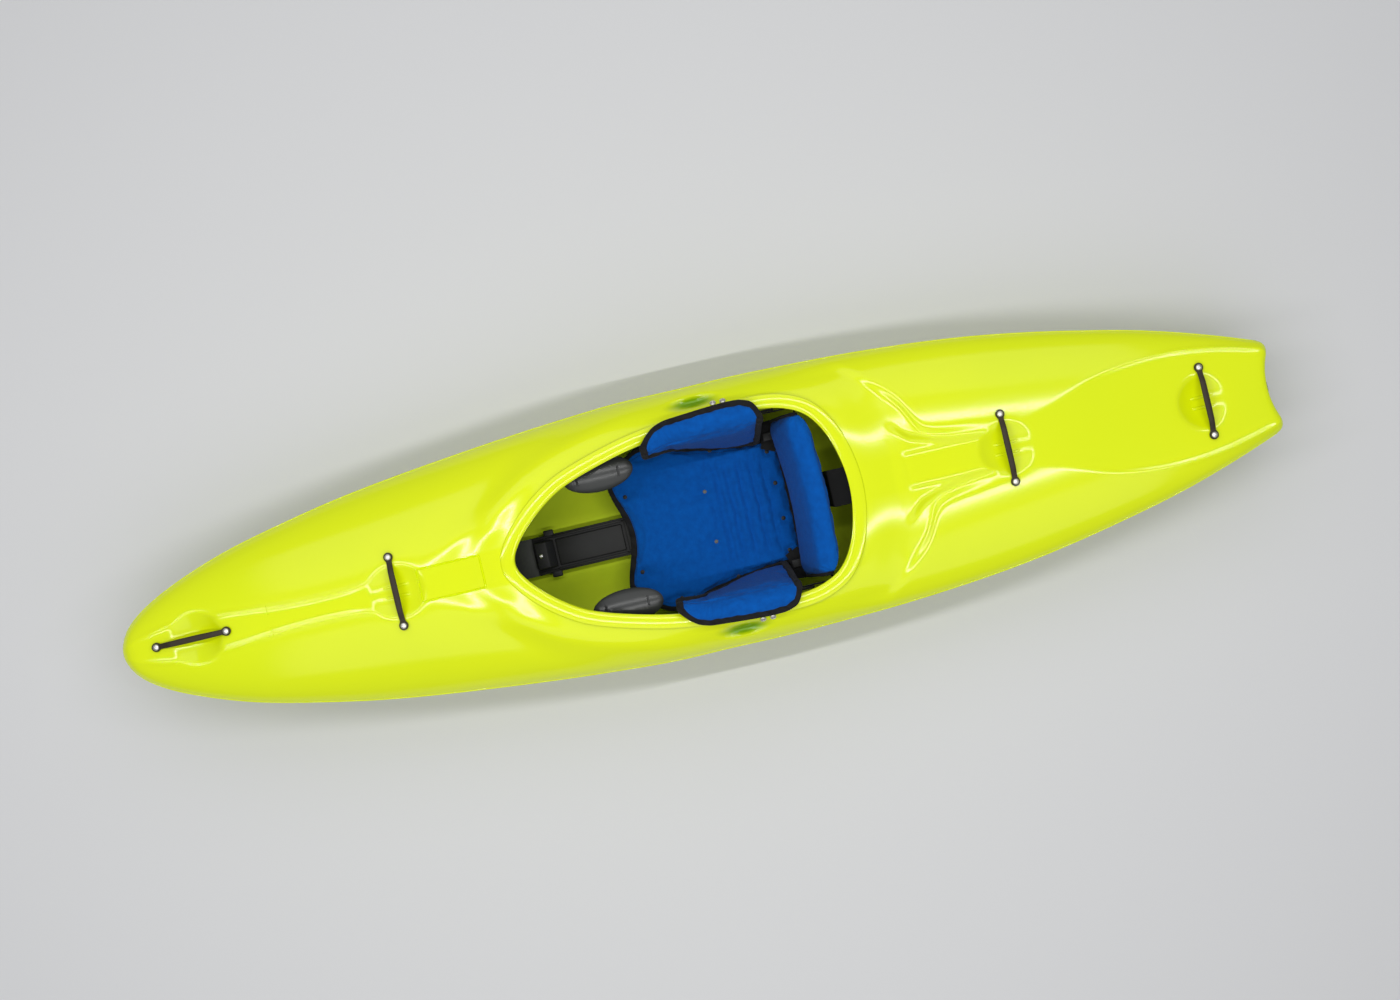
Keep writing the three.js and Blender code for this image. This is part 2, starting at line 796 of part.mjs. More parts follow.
function sideBoltSolid({ side, point }) {
  const axis = sideBoltAxis(side);
  const head = rodSolid(point, axis, boltHeadRadius, 2 * boltHeadHeight, 12);
  const shank = rodSolid(point, axis, boltShankRadius, boltLength, 8);
  return seatOnShell(head, axis).add(shank).simplify(smallestFacet);
}

function drainPlugSolid() {
  const seat = plugPoint.x - plugSeatDepth + fitGap;
  const at = (offset) => plugPoint.clone().setX(seat + offset);
  const flange = rodSolid(at(plugFlangeThickness / 2), alongX, plugFlangeRadius, plugFlangeThickness, 24);
  const gripTop = seat + plugFlangeThickness + plugGripHeight;
  const grip = boxSolid(
    [seat, -plugGripLength / 2, plugLevel - plugGripWidth / 2],
    [gripTop, plugGripLength / 2, plugLevel + plugGripWidth / 2],
  );
  const shank = rodSolid(at(-plugShankLength / 2), alongX, plugShankRadius, plugShankLength, 20);
  return flange.add(grip).add(shank);
}

// Floor rail with a ridge along each edge, open underneath.
const floorLevel = shellWall + fitGap;
function seatRailSolid() {
  const half = railWidth / 2;
  const top = floorLevel + railHeight;
  const ridgeTop = top + railRidge;
  const outline = [
    [-half, -shellWall],
    [-half, ridgeTop],
    [railRidgeWidth - half, ridgeTop],
    [railRidgeWidth - half, top],
    [half - railRidgeWidth, top],
    [half - railRidgeWidth, ridgeTop],
    [half, ridgeTop],
    [half, -shellWall],
    [half - railWall, -shellWall],
    [half - railWall, top - railWall],
    [railWall - half, top - railWall],
    [railWall - half, -shellWall],
  ];
  return largest(alongHull(outline, railFront, railRear).intersect(cavity));
}

const railTop = floorLevel + railHeight;
function frontPlateSolid() {
  const level = railTop + railRidge + fitGap;
  return boxSolid(
    [railFront, -railWidth / 2, level],
    [railFront + frontPlateLength, railWidth / 2, level + frontPlateThickness],
  );
}

function railBracketSolid() {
  const [front, rear] = hullEnds(bracketLength).map((v) => v + bracketPlace);
  const level = railTop + fitGap;
  const outline = [
    [front, level],
    [rear, level],
    [rear, level + bracketStep],
    [bracketPlace + bracketStep / 2, level + bracketHeight],
    [front, level + bracketHeight],
  ];
  return acrossHull(outline, -bracketWidth / 2, bracketWidth / 2);
}

const bracketBoltPoint = new THREE.Vector3(
  bracketPlace - bracketLength / 4,
  0,
  railTop + fitGap + bracketHeight + fitGap + bracketBoltHeight / 2,
);

// Foam walls between floor and deck, clear of the pans under the dimples
const clearOfPans = (solid) =>
  handles.reduce((left, handle) => left.subtract(dimpleBall(handle, shellWall + fitGap)), solid);
const frontFoamFront = footRestPlace + footPlateThickness + footFoamThickness + 4 * fitGap;
function frontFoamSolid() {
  const half = frontFoamWidth / 2;
  const raw = boxSolid([frontFoamFront, -half, 0], [railFront - fitGap, half, deckPeak + pedestalRise]);
  return largest(clearOfPans(raw.intersect(cavity)));
}

function rearFoamSolid() {
  const outline = [
    [rearFoamFront, 0],
    [rearFoamRear, 0],
    [rearFoamRear, deckPeak],
    [rearFoamFront + rearFoamStep, deckPeak],
    [rearFoamFront + rearFoamStep, rearFoamNose],
    [rearFoamFront, rearFoamNose],
  ];
  const raw = acrossHull(outline, -rearFoamWidth / 2, rearFoamWidth / 2);
  return largest(clearOfPans(raw.intersect(cavity)));
}

// Foot rest: two rails along the foam wall, and a plate with its foam that slides on them.
const footRailInner = frontFoamWidth / 2 + fitGap;
function footRailBox(grow) {
  const [foot, top] = hullEnds(footRailHeight + 2 * grow).map((v) => v + footRailLevel);
  return boxSolid(
    [footRailFront - grow, footRailInner - grow, foot],
    [footRailRear + grow, footRailInner + footRailThickness + grow, top],
  );
}

function footBlock(front, thickness) {
  const block = boxSolid(
    [front, -footPlateWidth / 2, footPlateFoot],
    [front + thickness, footPlateWidth / 2, footPlateTop],
  );
  const slot = footRailBox(fitGap);
  return largest(
    block
      .intersect(cavity)
      .intersect(cavity.translate([footRestTravel, 0, 0]))
      .subtract(slot)
      .subtract(slot.mirror([0, 1, 0])),
  );
}
const footPlateSolid = () => footBlock(footRestPlace, footPlateThickness);
const footFoamSolid = () => footBlock(footRestPlace + footPlateThickness + fitGap, footFoamThickness);

// Seat base: a deck plate on four runners, the inner pair guided by the floor rail.
const runnerInner = railWidth / 2 + slideGap;
function seatBaseSolid() {
  const half = seatWidth / 2;
  const bottom = floorLevel;
  const under = seatTop - seatPlate;
  const outer = half - seatRunnerInset;
  const side = [
    [half, seatTop],
    [half, under],
    [outer, under],
    [outer, bottom],
    [outer - seatRunner, bottom],
    [outer - seatRunner, under],
    [runnerInner + seatRunner, under],
    [runnerInner + seatRunner, bottom],
    [runnerInner, bottom],
    [runnerInner, under],
  ];
  const outline = side.concat(side.map(([y, z]) => [-y, z]).reverse());
  return alongHull(outline, seatFront, seatFront + seatLength);
}

// Half width of the seat pad from its front edge to its back edge.
const padWidthShares = [
  [0, 0.66],
  [0.06, 0.78],
  [0.14, 0.93],
  [0.22, 1.0],
  [0.32, 0.97],
  [0.5, 0.87],
  [0.75, 0.78],
  [1, 0.74],
];

const rimFade = (s, t, power) => {
  const across = 1 - Math.abs(2 * s - 1) ** power;
  const along = 1 - Math.abs(2 * t - 1) ** power;
  return Math.sqrt(Math.max(across * along, 0));
};

function seatPadPoint(s, t, top) {
  const side = 2 * t - 1;
  const half = padHalfWidth * readTable(padWidthShares, 1, s);
  const notch = padNotch * (1 - side * side) ** 2 * (1 - s) ** 6;
  const x = padFront + padLength * s + notch;
  const y = half * side;
  const rise = padSideRise * Math.abs(y / padHalfWidth) ** 3 + padFrontRise * (1 - s) ** 4;
  const level = seatTop + fitGap + rise;
  if (!top) return [x, y, level + padEdge * (1 - rimFade(s, t, 12)) * rimShare];
  let channels = 0;
  for (let k = 0; k < channelCount; k += 1) {
    const place = channelPlace + k * channelPitch;
    channels += Math.exp(-(((x - place) / channelSpread) ** 2));
  }
  const body = padThickness * rimFade(s, t, 6);
  return [x, y, level + padEdge + body - channelDepth * channels * rimFade(s, t, 2)];
}
const seatPadSolid = () =>
  padSolid(
    28,
    14,
    (s, t) => seatPadPoint(s, t, true),
    (s, t) => seatPadPoint(s, t, false),
  );

// Strip of even thickness along a polyline drawn in Y and Z.
function stripOutline(line, thickness) {
  const outer = line.map(([y, z], i) => {
    const before = line[Math.max(i - 1, 0)];
    const after = line[Math.min(i + 1, line.length - 1)];
    const run = Math.hypot(after[0] - before[0], after[1] - before[1]);
    return [y + ((after[1] - before[1]) / run) * thickness, z - ((after[0] - before[0]) / run) * thickness];
  });
  return line.concat(outer.reverse());
}

const wingFootLevel = seatTop + fitGap + wingThickness;
function wingSolid() {
  const line = [
    [wingFoot, wingFootLevel],
    [seatWidth / 2, wingFootLevel],
    [wingKnee, wingFootLevel + wingKneeRise],
    [wingSide, wingFootLevel + wingSideRise],
    [wingSide, wingTopLevel],
  ];
  return alongHull(stripOutline(line, wingThickness), wingFront, wingFront + wingLength);
}

// Hip pad: from its foot beside the seat up the wing, then curled over the coaming.
function hipPadPoint(s, t, side) {
  const x = hipPadFront + hipPadLength * s;
  const rim = coamingTop(x) + hipPadLift;
  const foot = hipPadFootFront + (hipPadFootRear - hipPadFootFront) * s;
  const spread = Math.sin(Math.PI * Math.min(s * 2, 1) * rimShare) * (1 - smoothStep(3 / 4, 1, s) / 2);
  const outer = hipPadWall + (cockpitWidth / 2 + hipPadOverhang - hipPadWall) * spread;
  const line = new THREE.SplineCurve([
    new THREE.Vector2(foot, hipPadFoot),
    new THREE.Vector2((foot + hipPadWall) / 2, (hipPadFoot + rim) / 2),
    new THREE.Vector2(hipPadWall, rim - hipPadCurl),
    new THREE.Vector2(hipPadWall + (outer - hipPadWall) / 4, rim + hipPadCurl / 4),
    new THREE.Vector2(outer, rim + hipPadCurl / 2),
  ]);
  const point = line.getPoint(t);
  const tangent = line.getTangent(t);
  const crown = (hipPadThickness / 2) * rimFade(s, t, 5);
  return [x, point.x + tangent.y * crown * side, point.y - tangent.x * crown * side];
}
const hipPadSolid = () =>
  padSolid(
    10,
    14,
    (s, t) => hipPadPoint(s, t, 1),
    (s, t) => hipPadPoint(s, t, -1),
  );

// Back support: a leaning padded band with a thin plate behind it.
function bandPoint(s, t, depth, width, height, foot) {
  const side = 2 * s - 1;
  const y = (width / 2) * side;
  const z = foot + height * t;
  const bow = bandBow * (1 - (y / (bandWidth / 2)) ** 2);
  const lean = (bandLean * (z - bandFoot)) / bandHeight;
  return [bandPlace + lean + bow + depth, y, z];
}
const bandPadSolid = () => {
  const half = (s, t) => (bandThickness / 2) * rimFade(s, t, 4);
  return padSolid(
    14,
    8,
    (s, t) => bandPoint(s, t, -half(s, t), bandWidth, bandHeight, bandFoot),
    (s, t) => bandPoint(s, t, half(s, t) * bandBackShare, bandWidth, bandHeight, bandFoot),
  );
};
const bandPlateFront = (bandThickness / 2) * bandBackShare + fitGap;
const bandPlateSolid = () => {
  const foot = bandFoot + (bandHeight - bandPlateHeight) / 2;
  const sheet = (depth) => (s, t) => bandPoint(s, t, depth, bandPlateWidth, bandPlateHeight, foot);
  return sheetSolid(10, 2, sheet(bandPlateFront), sheet(bandPlateFront + bandPlateThickness));
};

// Closed plate between two sheets of the same grid.
function sheetSolid(columns, rows, front, back) {
  const points = [];
  const index = [];
  [front, back].forEach((surface) => {
    for (let i = 0; i <= columns; i += 1) {
      for (let j = 0; j <= rows; j += 1) points.push(surface(i / columns, j / rows));
    }
  });
  const at = (i, j, layer) => layer * (columns + 1) * (rows + 1) + i * (rows + 1) + j;
  const quad = (a, b, c, d) => index.push(a, b, c, a, c, d);
  for (let i = 0; i < columns; i += 1) {
    for (let j = 0; j < rows; j += 1) {
      quad(at(i, j, 0), at(i, j + 1, 0), at(i + 1, j + 1, 0), at(i + 1, j, 0));
      quad(at(i, j, 1), at(i + 1, j, 1), at(i + 1, j + 1, 1), at(i, j + 1, 1));
    }
    quad(at(i, 0, 0), at(i + 1, 0, 0), at(i + 1, 0, 1), at(i, 0, 1));
    quad(at(i, rows, 0), at(i, rows, 1), at(i + 1, rows, 1), at(i + 1, rows, 0));
  }
  for (let j = 0; j < rows; j += 1) {
    quad(at(0, j, 0), at(0, j, 1), at(0, j + 1, 1), at(0, j + 1, 0));
    quad(at(columns, j, 0), at(columns, j + 1, 0), at(columns, j + 1, 1), at(columns, j, 1));
  }
  return facingOut(points, index);
}

// Strap beside the ratchet, its rear end turned in behind the plate.
const ratchetInner = wingSide + wingThickness + fitGap;
const strapInner = ratchetInner + ratchetPlate + fitGap;
const strapTop = strapLevel + strapHeight;
const strapTabWidth = bandPlateWidth - 2 * strapHeight;
const strapRear = bandPoint(0, 0, bandPlateFront + bandPlateThickness, strapTabWidth, 0, strapTop)[0];
function strapSolid() {
  const outer = strapInner + strapThickness;
  const rear = strapRear + fitGap;
  const run = boxSolid([strapFront, strapInner, strapLevel], [rear + strapThickness, outer, strapTop]);
  const tab = boxSolid(
    [rear, strapTabWidth / 2, strapLevel],
    [rear + strapThickness, outer, strapTop],
  );
  return run.add(tab);
}

// Ratchet: a plate on the wing with two ears, and a lever on a pin between them.
const leverInner = strapInner + strapThickness + slideGap;
const leverOuter = leverInner + leverThickness;
const leverPin = new THREE.Vector3(
  ratchetFront + ratchetLength / 2,
  (leverInner + leverOuter) / 2,
  strapLevel + strapHeight / 2,
);
const earGap = strapHeight / 2 + slideGap;
function ratchetBaseSolid() {
  const rear = ratchetFront + ratchetLength;
  const reach = earGap + ratchetEar;
  const plate = boxSolid(
    [ratchetFront, ratchetInner, leverPin.z - reach],
    [rear, ratchetInner + ratchetPlate, leverPin.z + reach],
  );
  const ears = [-reach, earGap].map((low) => {
    const foot = leverPin.z + low;
    return boxSolid([ratchetFront, ratchetInner, foot], [rear, leverOuter, foot + ratchetEar]);
  });
  const hole = rodSolid(leverPin, up, leverPinRadius + fitGap, 4 * strapHeight, 10);
  return plate.add(ears[0]).add(ears[1]).subtract(hole);
}

function leverSolid() {
  const outline = [
    [leverPin.x - leverThickness / 2, leverPin.z - strapHeight / 2],
    [leverPin.x + leverLength, leverPin.z - strapHeight / 3],
    [leverPin.x + leverLength, leverPin.z + strapHeight / 3],
    [leverPin.x - leverThickness / 2, leverPin.z + strapHeight / 2],
  ];
  const pin = rodSolid(leverPin, up, leverPinRadius, 2 * (earGap + ratchetEar), 10);
  return acrossHull(outline, leverInner, leverOuter).add(pin);
}

// Thigh brace: a domed hook with a tab under its rail, held by a knob whose stud runs in the rail's slot.
const braceLevel = deckTopAt(bracePlace, braceOffset) - braceDrop;
function bracePadPoint(s, t, side) {
  const [a, b] = [2 * s - 1, 2 * t - 1];
  const squash = Math.sqrt(1 - (a * a) / 2);
  const narrow = Math.sqrt(1 - (b * b) / 2);
  const x = bracePlace + (braceLength / 2) * a * narrow;
  const y = braceOffset + (braceWidth / 2) * b * squash;
  const fade = Math.max((1 - a * a) * (1 - b * b), 0);
  const level = braceLevel + braceCrown * fade;
  return [x, y, level + (side * braceThickness * Math.sqrt(fade)) / 2];
}
const braceTabTop = braceRailLevel - slideGap;
const braceBolt = new THREE.Vector3(bracePlace, braceRailOffset, braceTabTop - braceTabThickness);
function braceSolid() {
  const pad = padSolid(
    10,
    8,
    (s, t) => bracePadPoint(s, t, 1),
    (s, t) => bracePadPoint(s, t, -1),
  );
  const tab = boxSolid(
    [bracePlace - braceTabLength / 2, braceOffset + braceWidth / 4, braceTabTop - braceTabThickness],
    [bracePlace + braceTabLength / 2, braceRailOffset + braceRailWidth / 2, braceTabTop],
  );
  const hole = rodSolid(braceBolt, up, braceStudRadius + fitGap, 4 * braceTabThickness, 10);
  return pad.add(tab).subtract(hole);
}

function braceRailSolid() {
  const [low, high] = hullEnds(braceRailWidth).map((v) => v + braceRailOffset);
  const [front, rear] = hullEnds(braceRailLength).map((v) => v + bracePlace);
  const raw = boxSolid([front, low, braceRailLevel], [rear, high, braceRailLevel + braceRailDepth]);
  const reach = braceTravel + braceStudRadius + slideGap;
  const halfSlot = braceStudRadius + slideGap;
  const slot = boxSolid(
    [bracePlace - reach, braceRailOffset - halfSlot, 0],
    [bracePlace + reach, braceRailOffset + halfSlot, braceRailLevel + braceSlotDepth],
  );
  return largest(raw.intersect(cavity).subtract(slot));
}

function braceKnobSolid() {
  const head = braceBolt.clone().setZ(braceBolt.z - fitGap - braceKnobHeight / 2);
  const studLength = braceTabThickness + slideGap + braceSlotDepth / 2 + fitGap;
  const stud = braceBolt.clone().setZ(braceBolt.z - fitGap + studLength / 2);
  return rodSolid(head, up, braceKnobRadius, braceKnobHeight, 12).add(
    rodSolid(stud, up, braceStudRadius, studLength, 10),
  );
}

// The scene graph
const root = new THREE.Group();
function addPart(name, solid, material) {
  const mesh = new THREE.Mesh(toGeometry(solid), material);
  mesh.name = name;
  root.add(mesh);
}
function addPair(name, solid, material) {
  addPart(name + "_right", solid, material);
  addPart(name + "_left", solid.mirror([0, 1, 0]), material);
}

const finish = (color, roughness, metalness = 0) =>
  new THREE.MeshStandardMaterial({ color, roughness, metalness });
const shellPlastic = finish(0xd8e80a, 0.35);
const fabric = finish(0x004b9b, 0.85);
const blackPlastic = finish(0x1c1c1a, 0.55);
const glossPlastic = finish(0x3c3e3c, 0.2);
const greyPlastic = finish(0x55574f, 0.6);
const foam = finish(0x151515, 0.95);
const webbing = finish(0x161616, 0.9);
const steel = finish(0xc8c6c0, 0.3, 1);

addPart("hull_shell", shell, shellPlastic);
handles.forEach((handle) => {
  addPart(handle.name + "_grab_handle", handleSolid(handle), blackPlastic);
  handleEnds(handle).forEach((point, i) => {
    const seat = point.clone().setZ(point.z + eyeThickness + fitGap);
    addPart(handle.name + "_handle_bolt_" + (i + 1), boltSolid(seat, up, boltLength), steel);
  });
});
sideBoltPoints.forEach((bolt, i) => {
  const name = (bolt.side > 0 ? "right" : "left") + "_side_bolt_" + ((i % sideBoltPlaces.length) + 1);
  addPart(name, sideBoltSolid(bolt), steel);
});
addPart("drain_plug", drainPlugSolid(), blackPlastic);
addPart("seat_rail", seatRailSolid(), blackPlastic);
addPart("rail_front_plate", frontPlateSolid(), greyPlastic);
addPart("rail_bracket", railBracketSolid(), blackPlastic);
const bracketBolt = rodSolid(bracketBoltPoint, up, bracketBoltRadius, bracketBoltHeight, 12);
addPart("rail_bracket_bolt", bracketBolt, steel);
addPart("front_foam_wall", frontFoamSolid(), foam);
addPart("rear_foam_wall", rearFoamSolid(), foam);
addPair("foot_rest_rail", footRailBox(0), steel);
addPart("foot_rest_plate", footPlateSolid(), blackPlastic);
addPart("foot_rest_foam", footFoamSolid(), foam);
addPart("seat_base", seatBaseSolid(), blackPlastic);
addPart("seat_pad", seatPadSolid(), fabric);
addPair("seat_wing", wingSolid(), blackPlastic);
addPair("hip_pad", hipPadSolid(), fabric);
addPart("backband_pad", bandPadSolid(), fabric);
addPart("backband_plate", bandPlateSolid(), blackPlastic);
addPair("backband_strap", strapSolid(), webbing);
addPair("ratchet_base", ratchetBaseSolid(), blackPlastic);
addPair("ratchet_lever", leverSolid(), blackPlastic);
addPair("thigh_brace", braceSolid(), glossPlastic);
addPair("thigh_brace_rail", braceRailSolid(), blackPlastic);
addPair("thigh_brace_knob", braceKnobSolid(), blackPlastic);

export default root;
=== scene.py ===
import json
import math

import bmesh
import bpy
import numpy as np
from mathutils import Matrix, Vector


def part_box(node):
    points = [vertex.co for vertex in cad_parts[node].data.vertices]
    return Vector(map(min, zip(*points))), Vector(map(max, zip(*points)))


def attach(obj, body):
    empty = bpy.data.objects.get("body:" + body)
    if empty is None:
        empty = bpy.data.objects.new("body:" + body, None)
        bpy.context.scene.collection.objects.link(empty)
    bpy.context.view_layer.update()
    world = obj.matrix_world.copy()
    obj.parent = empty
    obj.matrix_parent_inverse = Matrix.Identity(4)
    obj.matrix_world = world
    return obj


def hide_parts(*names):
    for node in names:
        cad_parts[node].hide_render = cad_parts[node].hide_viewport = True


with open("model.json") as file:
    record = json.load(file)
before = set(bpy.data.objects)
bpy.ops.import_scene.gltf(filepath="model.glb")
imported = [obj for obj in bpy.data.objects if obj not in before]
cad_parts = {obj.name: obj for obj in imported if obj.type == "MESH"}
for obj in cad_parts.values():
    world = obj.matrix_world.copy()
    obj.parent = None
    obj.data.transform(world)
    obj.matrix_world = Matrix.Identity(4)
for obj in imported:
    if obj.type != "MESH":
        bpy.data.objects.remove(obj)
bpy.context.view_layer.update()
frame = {"nodes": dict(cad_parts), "record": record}

# Lengths below are in millimetres, and meshes are made in metres
MM = 0.001
SIDES = ((1, "right"), (-1, "left"))

# Hull
HULL_LENGTH = 2850
HULL_BEAM = 648
DECK_PEAK = 345
SHELL_WALL = 7
BOTTOM_FLAT_RISE = 4
BOW_ROUND = 34
STERN_NOTCH = 21
STERN_ROUND = 16
NOTCH_START_SHARE = 0.9
INNER_FIRST_SHARE = 0.012

# Cockpit opening and its coaming
COCKPIT_LENGTH = 812
COCKPIT_WIDTH = 448
COCKPIT_FRONT = -0.0143 * HULL_LENGTH - COCKPIT_LENGTH / 2
COAMING_RISE = 15
COAMING_FALL = 60
COAMING_DIP = 4
LIP_WIDTH = 34
LIP_THICKNESS = 8
COAMING_WALL = 7
COAMING_SKIRT = 13
PEDESTAL_RISE = 10
PEDESTAL_WIDTH = 112
OUTLINE_STEPS = 110
FAR = 400.0

# Rounded edges of the flat ridge, and how they flare at the front handle
EDGE_RISE = 1.7
EDGE_SPREAD = 6.5
EDGE_FADE = [
    (-1400, 0), (-1340, 1), (-860, 1), (-800, 0.5), (-760, 0), (940, 0), (1040, 1), (1400, 1), (1420, 0),
]
FLARE_WIDTH = 20
FLARE_SPREAD = 62

# Knee shoulders beside the front of the opening
SHOULDER_RISE = 5
SHOULDER_PLACE = 44
SHOULDER_SPREAD = 26
SHOULDER_FRONT = (-600, -480)
SHOULDER_REAR = (-230, 20)
SHOULDER_SIDES = (30, 90)

# Soft crests that run from the panel out round the front of the coaming
CREST_RISE = 6
CREST_SPREAD = 27
CREST_LINE = np.array([
    (-668, 50), (-600, 78), (-530, 110), (-479, 138), (-450, 153), (-418, 176), (-380, 202),
])
CREST_FADE = [(-690, 0), (-620, 0.3), (-540, 0.8), (-470, 1), (-420, 0.8), (-330, 0)]

# Side recesses
RECESS_DEPTH = 22
RECESS_LENGTH = 160
RECESS_WIDTH = 40
RECESS_PLACE = 46
RECESS_OFFSET = 277

# Scoop behind the cockpit, its channels and the tongue between them
SCOOP_LEAD = (235, 365)
STEP_HALF = 19
WEDGE_HALF = 12
SCOOP_SIDES = (150, 270)
SCOOP_SIDE_LOSS = 0.6
WEDGE_FRONT = (476, 520)
TONGUE_RISE = 2.6
TONGUE_SIDES = (34, 48)
TONGUE_FRONT = (500, 514)
TONGUE_REAR = (705, 725)
SCOOP_EDGE = [
    (400, 285), (430, 262), (473, 222), (512, 183), (535, 150), (550, 112),
    (562, 90), (590, 78), (682, 68), (736, 61), (770, 55),
]
WEDGE_EDGE = [(493, 116), (513, 92), (533, 78), (621, 52), (695, 44), (770, 42)]
SCOOP_FALL = [(365, 12), (500, 12), (560, 10), (620, 7), (700, 5), (760, 2), (790, 0)]

# Panel on the ridge ahead of the cockpit
PANEL_LENGTH = 154
PANEL_WIDTH = 78
PANEL_PLACE = -604
GROOVE_HALF = 2.7
GROOVE_DROP = 5
TICK_PLACE = -1047
TICK_ENDS = (15, 38)
MOULD_LINE_SHARE = 0.985

# Grab handles
HANDLES = [
    ("bow", -1242, 176, (1, 0)),
    ("front", -738, 166, (0, 1)),
    ("rear", 755, 166, (0, 1)),
    ("stern", 1248, 166, (0, 1)),
]
FRONT_HANDLE = HANDLES[1][1]
HANDLE_RISE = 9
EYE_RADIUS = 11
EYE_THICKNESS = 7
FIT_GAP = 0.3
BAR_NECK = 5.7
BAR_SWELL = 1.5
BAR_HALF_THICKNESS = 3.1
BAR_SOFTNESS = 3
BAR_POWER = 2.3
EYE_POWER = 2.4
ARCH_LENGTH = 34
HANDLE_HOLE_RADIUS = 3.4

# Bolt heads: radius, height, radius of the socket and length of the shank
BOLT_FORM = (7.5, 4.5, 3.0, 24)
SHANK_RADIUS = 3.0
SOCKET_DEPTH = 2.6
DISH_RADIUS = 64
DISH_DEPTH = 20
DISH_BALL = (DISH_RADIUS ** 2 + DISH_DEPTH ** 2) / (2 * DISH_DEPTH)
DISH_SOFTNESS = 4
RIB_OFFSET = 12.5
RIB_HALF = 3.2
RIB_LENGTH = 62

# Stations along the hull, bow first. Each row: place share of the length, half beam over the root
# of the place, keel, widest line and deck ridge as shares of the deck peak, fullness of the deck
# and of the bottom, and the share of the deck that is flat on top.
STATION_SHARES = np.array([
    [0.0, 1.88, 0.66, 0.72, 0.795, 2.0, 2.0, 0.35],
    [0.02, 1.86, 0.585, 0.712, 0.84, 1.9, 2.0, 0.35],
    [0.05, 1.83, 0.49, 0.7, 0.882, 1.85, 2.05, 0.34],
    [0.1, 1.812, 0.355, 0.675, 0.93, 1.75, 2.15, 0.22],
    [0.15, 1.76, 0.245, 0.65, 0.962, 1.65, 2.3, 0.13],
    [0.2, 1.722, 0.155, 0.625, 0.984, 1.6, 2.45, 0.11],
    [0.25, 1.672, 0.088, 0.602, 0.998, 1.65, 2.6, 0.12],
    [0.3, 1.622, 0.038, 0.58, 1.0, 1.8, 2.8, 0.14],
    [0.35, 1.578, 0.009, 0.562, 1.0, 2.1, 3.0, 0.14],
    [0.4, 1.533, 0.0, 0.545, 0.992, 2.4, 3.2, 0.14],
    [0.45, 1.485, 0.0, 0.53, 0.98, 2.6, 3.4, 0.14],
    [0.5, 1.41, 0.0, 0.52, 0.966, 2.6, 3.5, 0.14],
    [0.55, 1.348, 0.0, 0.52, 0.94, 2.6, 3.6, 0.14],
    [0.6, 1.278, 0.0, 0.52, 0.9, 2.6, 3.6, 0.14],
    [0.65, 1.207, 0.0, 0.527, 0.852, 2.5, 3.5, 0.14],
    [0.7, 1.125, 0.012, 0.54, 0.83, 2.3, 3.4, 0.14],
    [0.75, 1.033, 0.04, 0.556, 0.826, 2.1, 3.3, 0.16],
    [0.8, 0.923, 0.082, 0.574, 0.824, 2.0, 3.2, 0.26],
    [0.85, 0.799, 0.135, 0.594, 0.82, 2.0, 3.1, 0.5],
    [0.9, 0.666, 0.2, 0.615, 0.812, 2.1, 3.0, 0.66],
    [0.95, 0.508, 0.275, 0.637, 0.8, 2.2, 3.0, 0.77],
    [1.0, 0.332, 0.36, 0.66, 0.785, 2.3, 3.0, 0.84],
])

# Half width of the cockpit opening, as shares of its length and half width
OPENING_SHARES = np.array([
    [0, 0], [0.0145, 0.15], [0.058, 0.34], [0.116, 0.52], [0.183, 0.665], [0.302, 0.81],
    [0.43, 0.915], [0.616, 0.985], [0.72, 1.0], [0.8, 1.0], [0.866, 0.95], [0.926, 0.82],
    [0.971, 0.56], [0.994, 0.25], [1, 0],
])

# Side bolts beside the hip pads
SIDE_BOLTS = (93, 117)
SIDE_BOLT_OFFSET = 264
SIDE_BOLT_LEAN = 0.75

# Seat cushion
SEAT_TOP = 58
PAD_FRONT = -198
PAD_LENGTH = 426
PAD_HALF_WIDTH = 200
PAD_SIDE_RISE = 36
PAD_FRONT_RISE = 12
PAD_NOTCH = 28
PAD_EDGE = 6
PAD_CROWN = 21
PAD_CROWD = 0.5
CHANNEL_PLACE = 62
CHANNEL_PITCH = 30
CHANNEL_COUNT = 5
CHANNEL_SPREAD = 7
CHANNEL_DROP = 9
CHANNEL_ENDS = (0.62, 0.85)
SEAM_HALF = 2.2
SEAM_REACH = 0.72
RIVET_SPREAD = 12
RIVET_DROP = 8
RIVET_SEAM = 6.5
SEAT_RIVETS = [
    (-169, 96), (-169, -96), (-88, 181), (-88, -181), (61, 160), (61, -160), (203, 45), (203, -45),
    (200, 126), (200, -126), (27, 64), (27, -64),
]
RIVET_PROFILE = [(2.2, -4), (2.2, 0), (5.4, 0), (5.8, 0.8), (5.2, 1.9), (3.2, 2.7), (1.2, 2.9)]
CLOTH_FRAMES = 16

# Air pressure, furthest move and slack of each kind of pad, and half sizes of the bindings
SEAT_AIR = (3.0, 3.5, 0.02)
HIP_AIR = (2.0, 3, 0.015)
BAND_AIR = (3.0, 4, 0.02)
SEAT_BINDING = (10.5, 6)
PAD_BINDING = (9, 6.5)

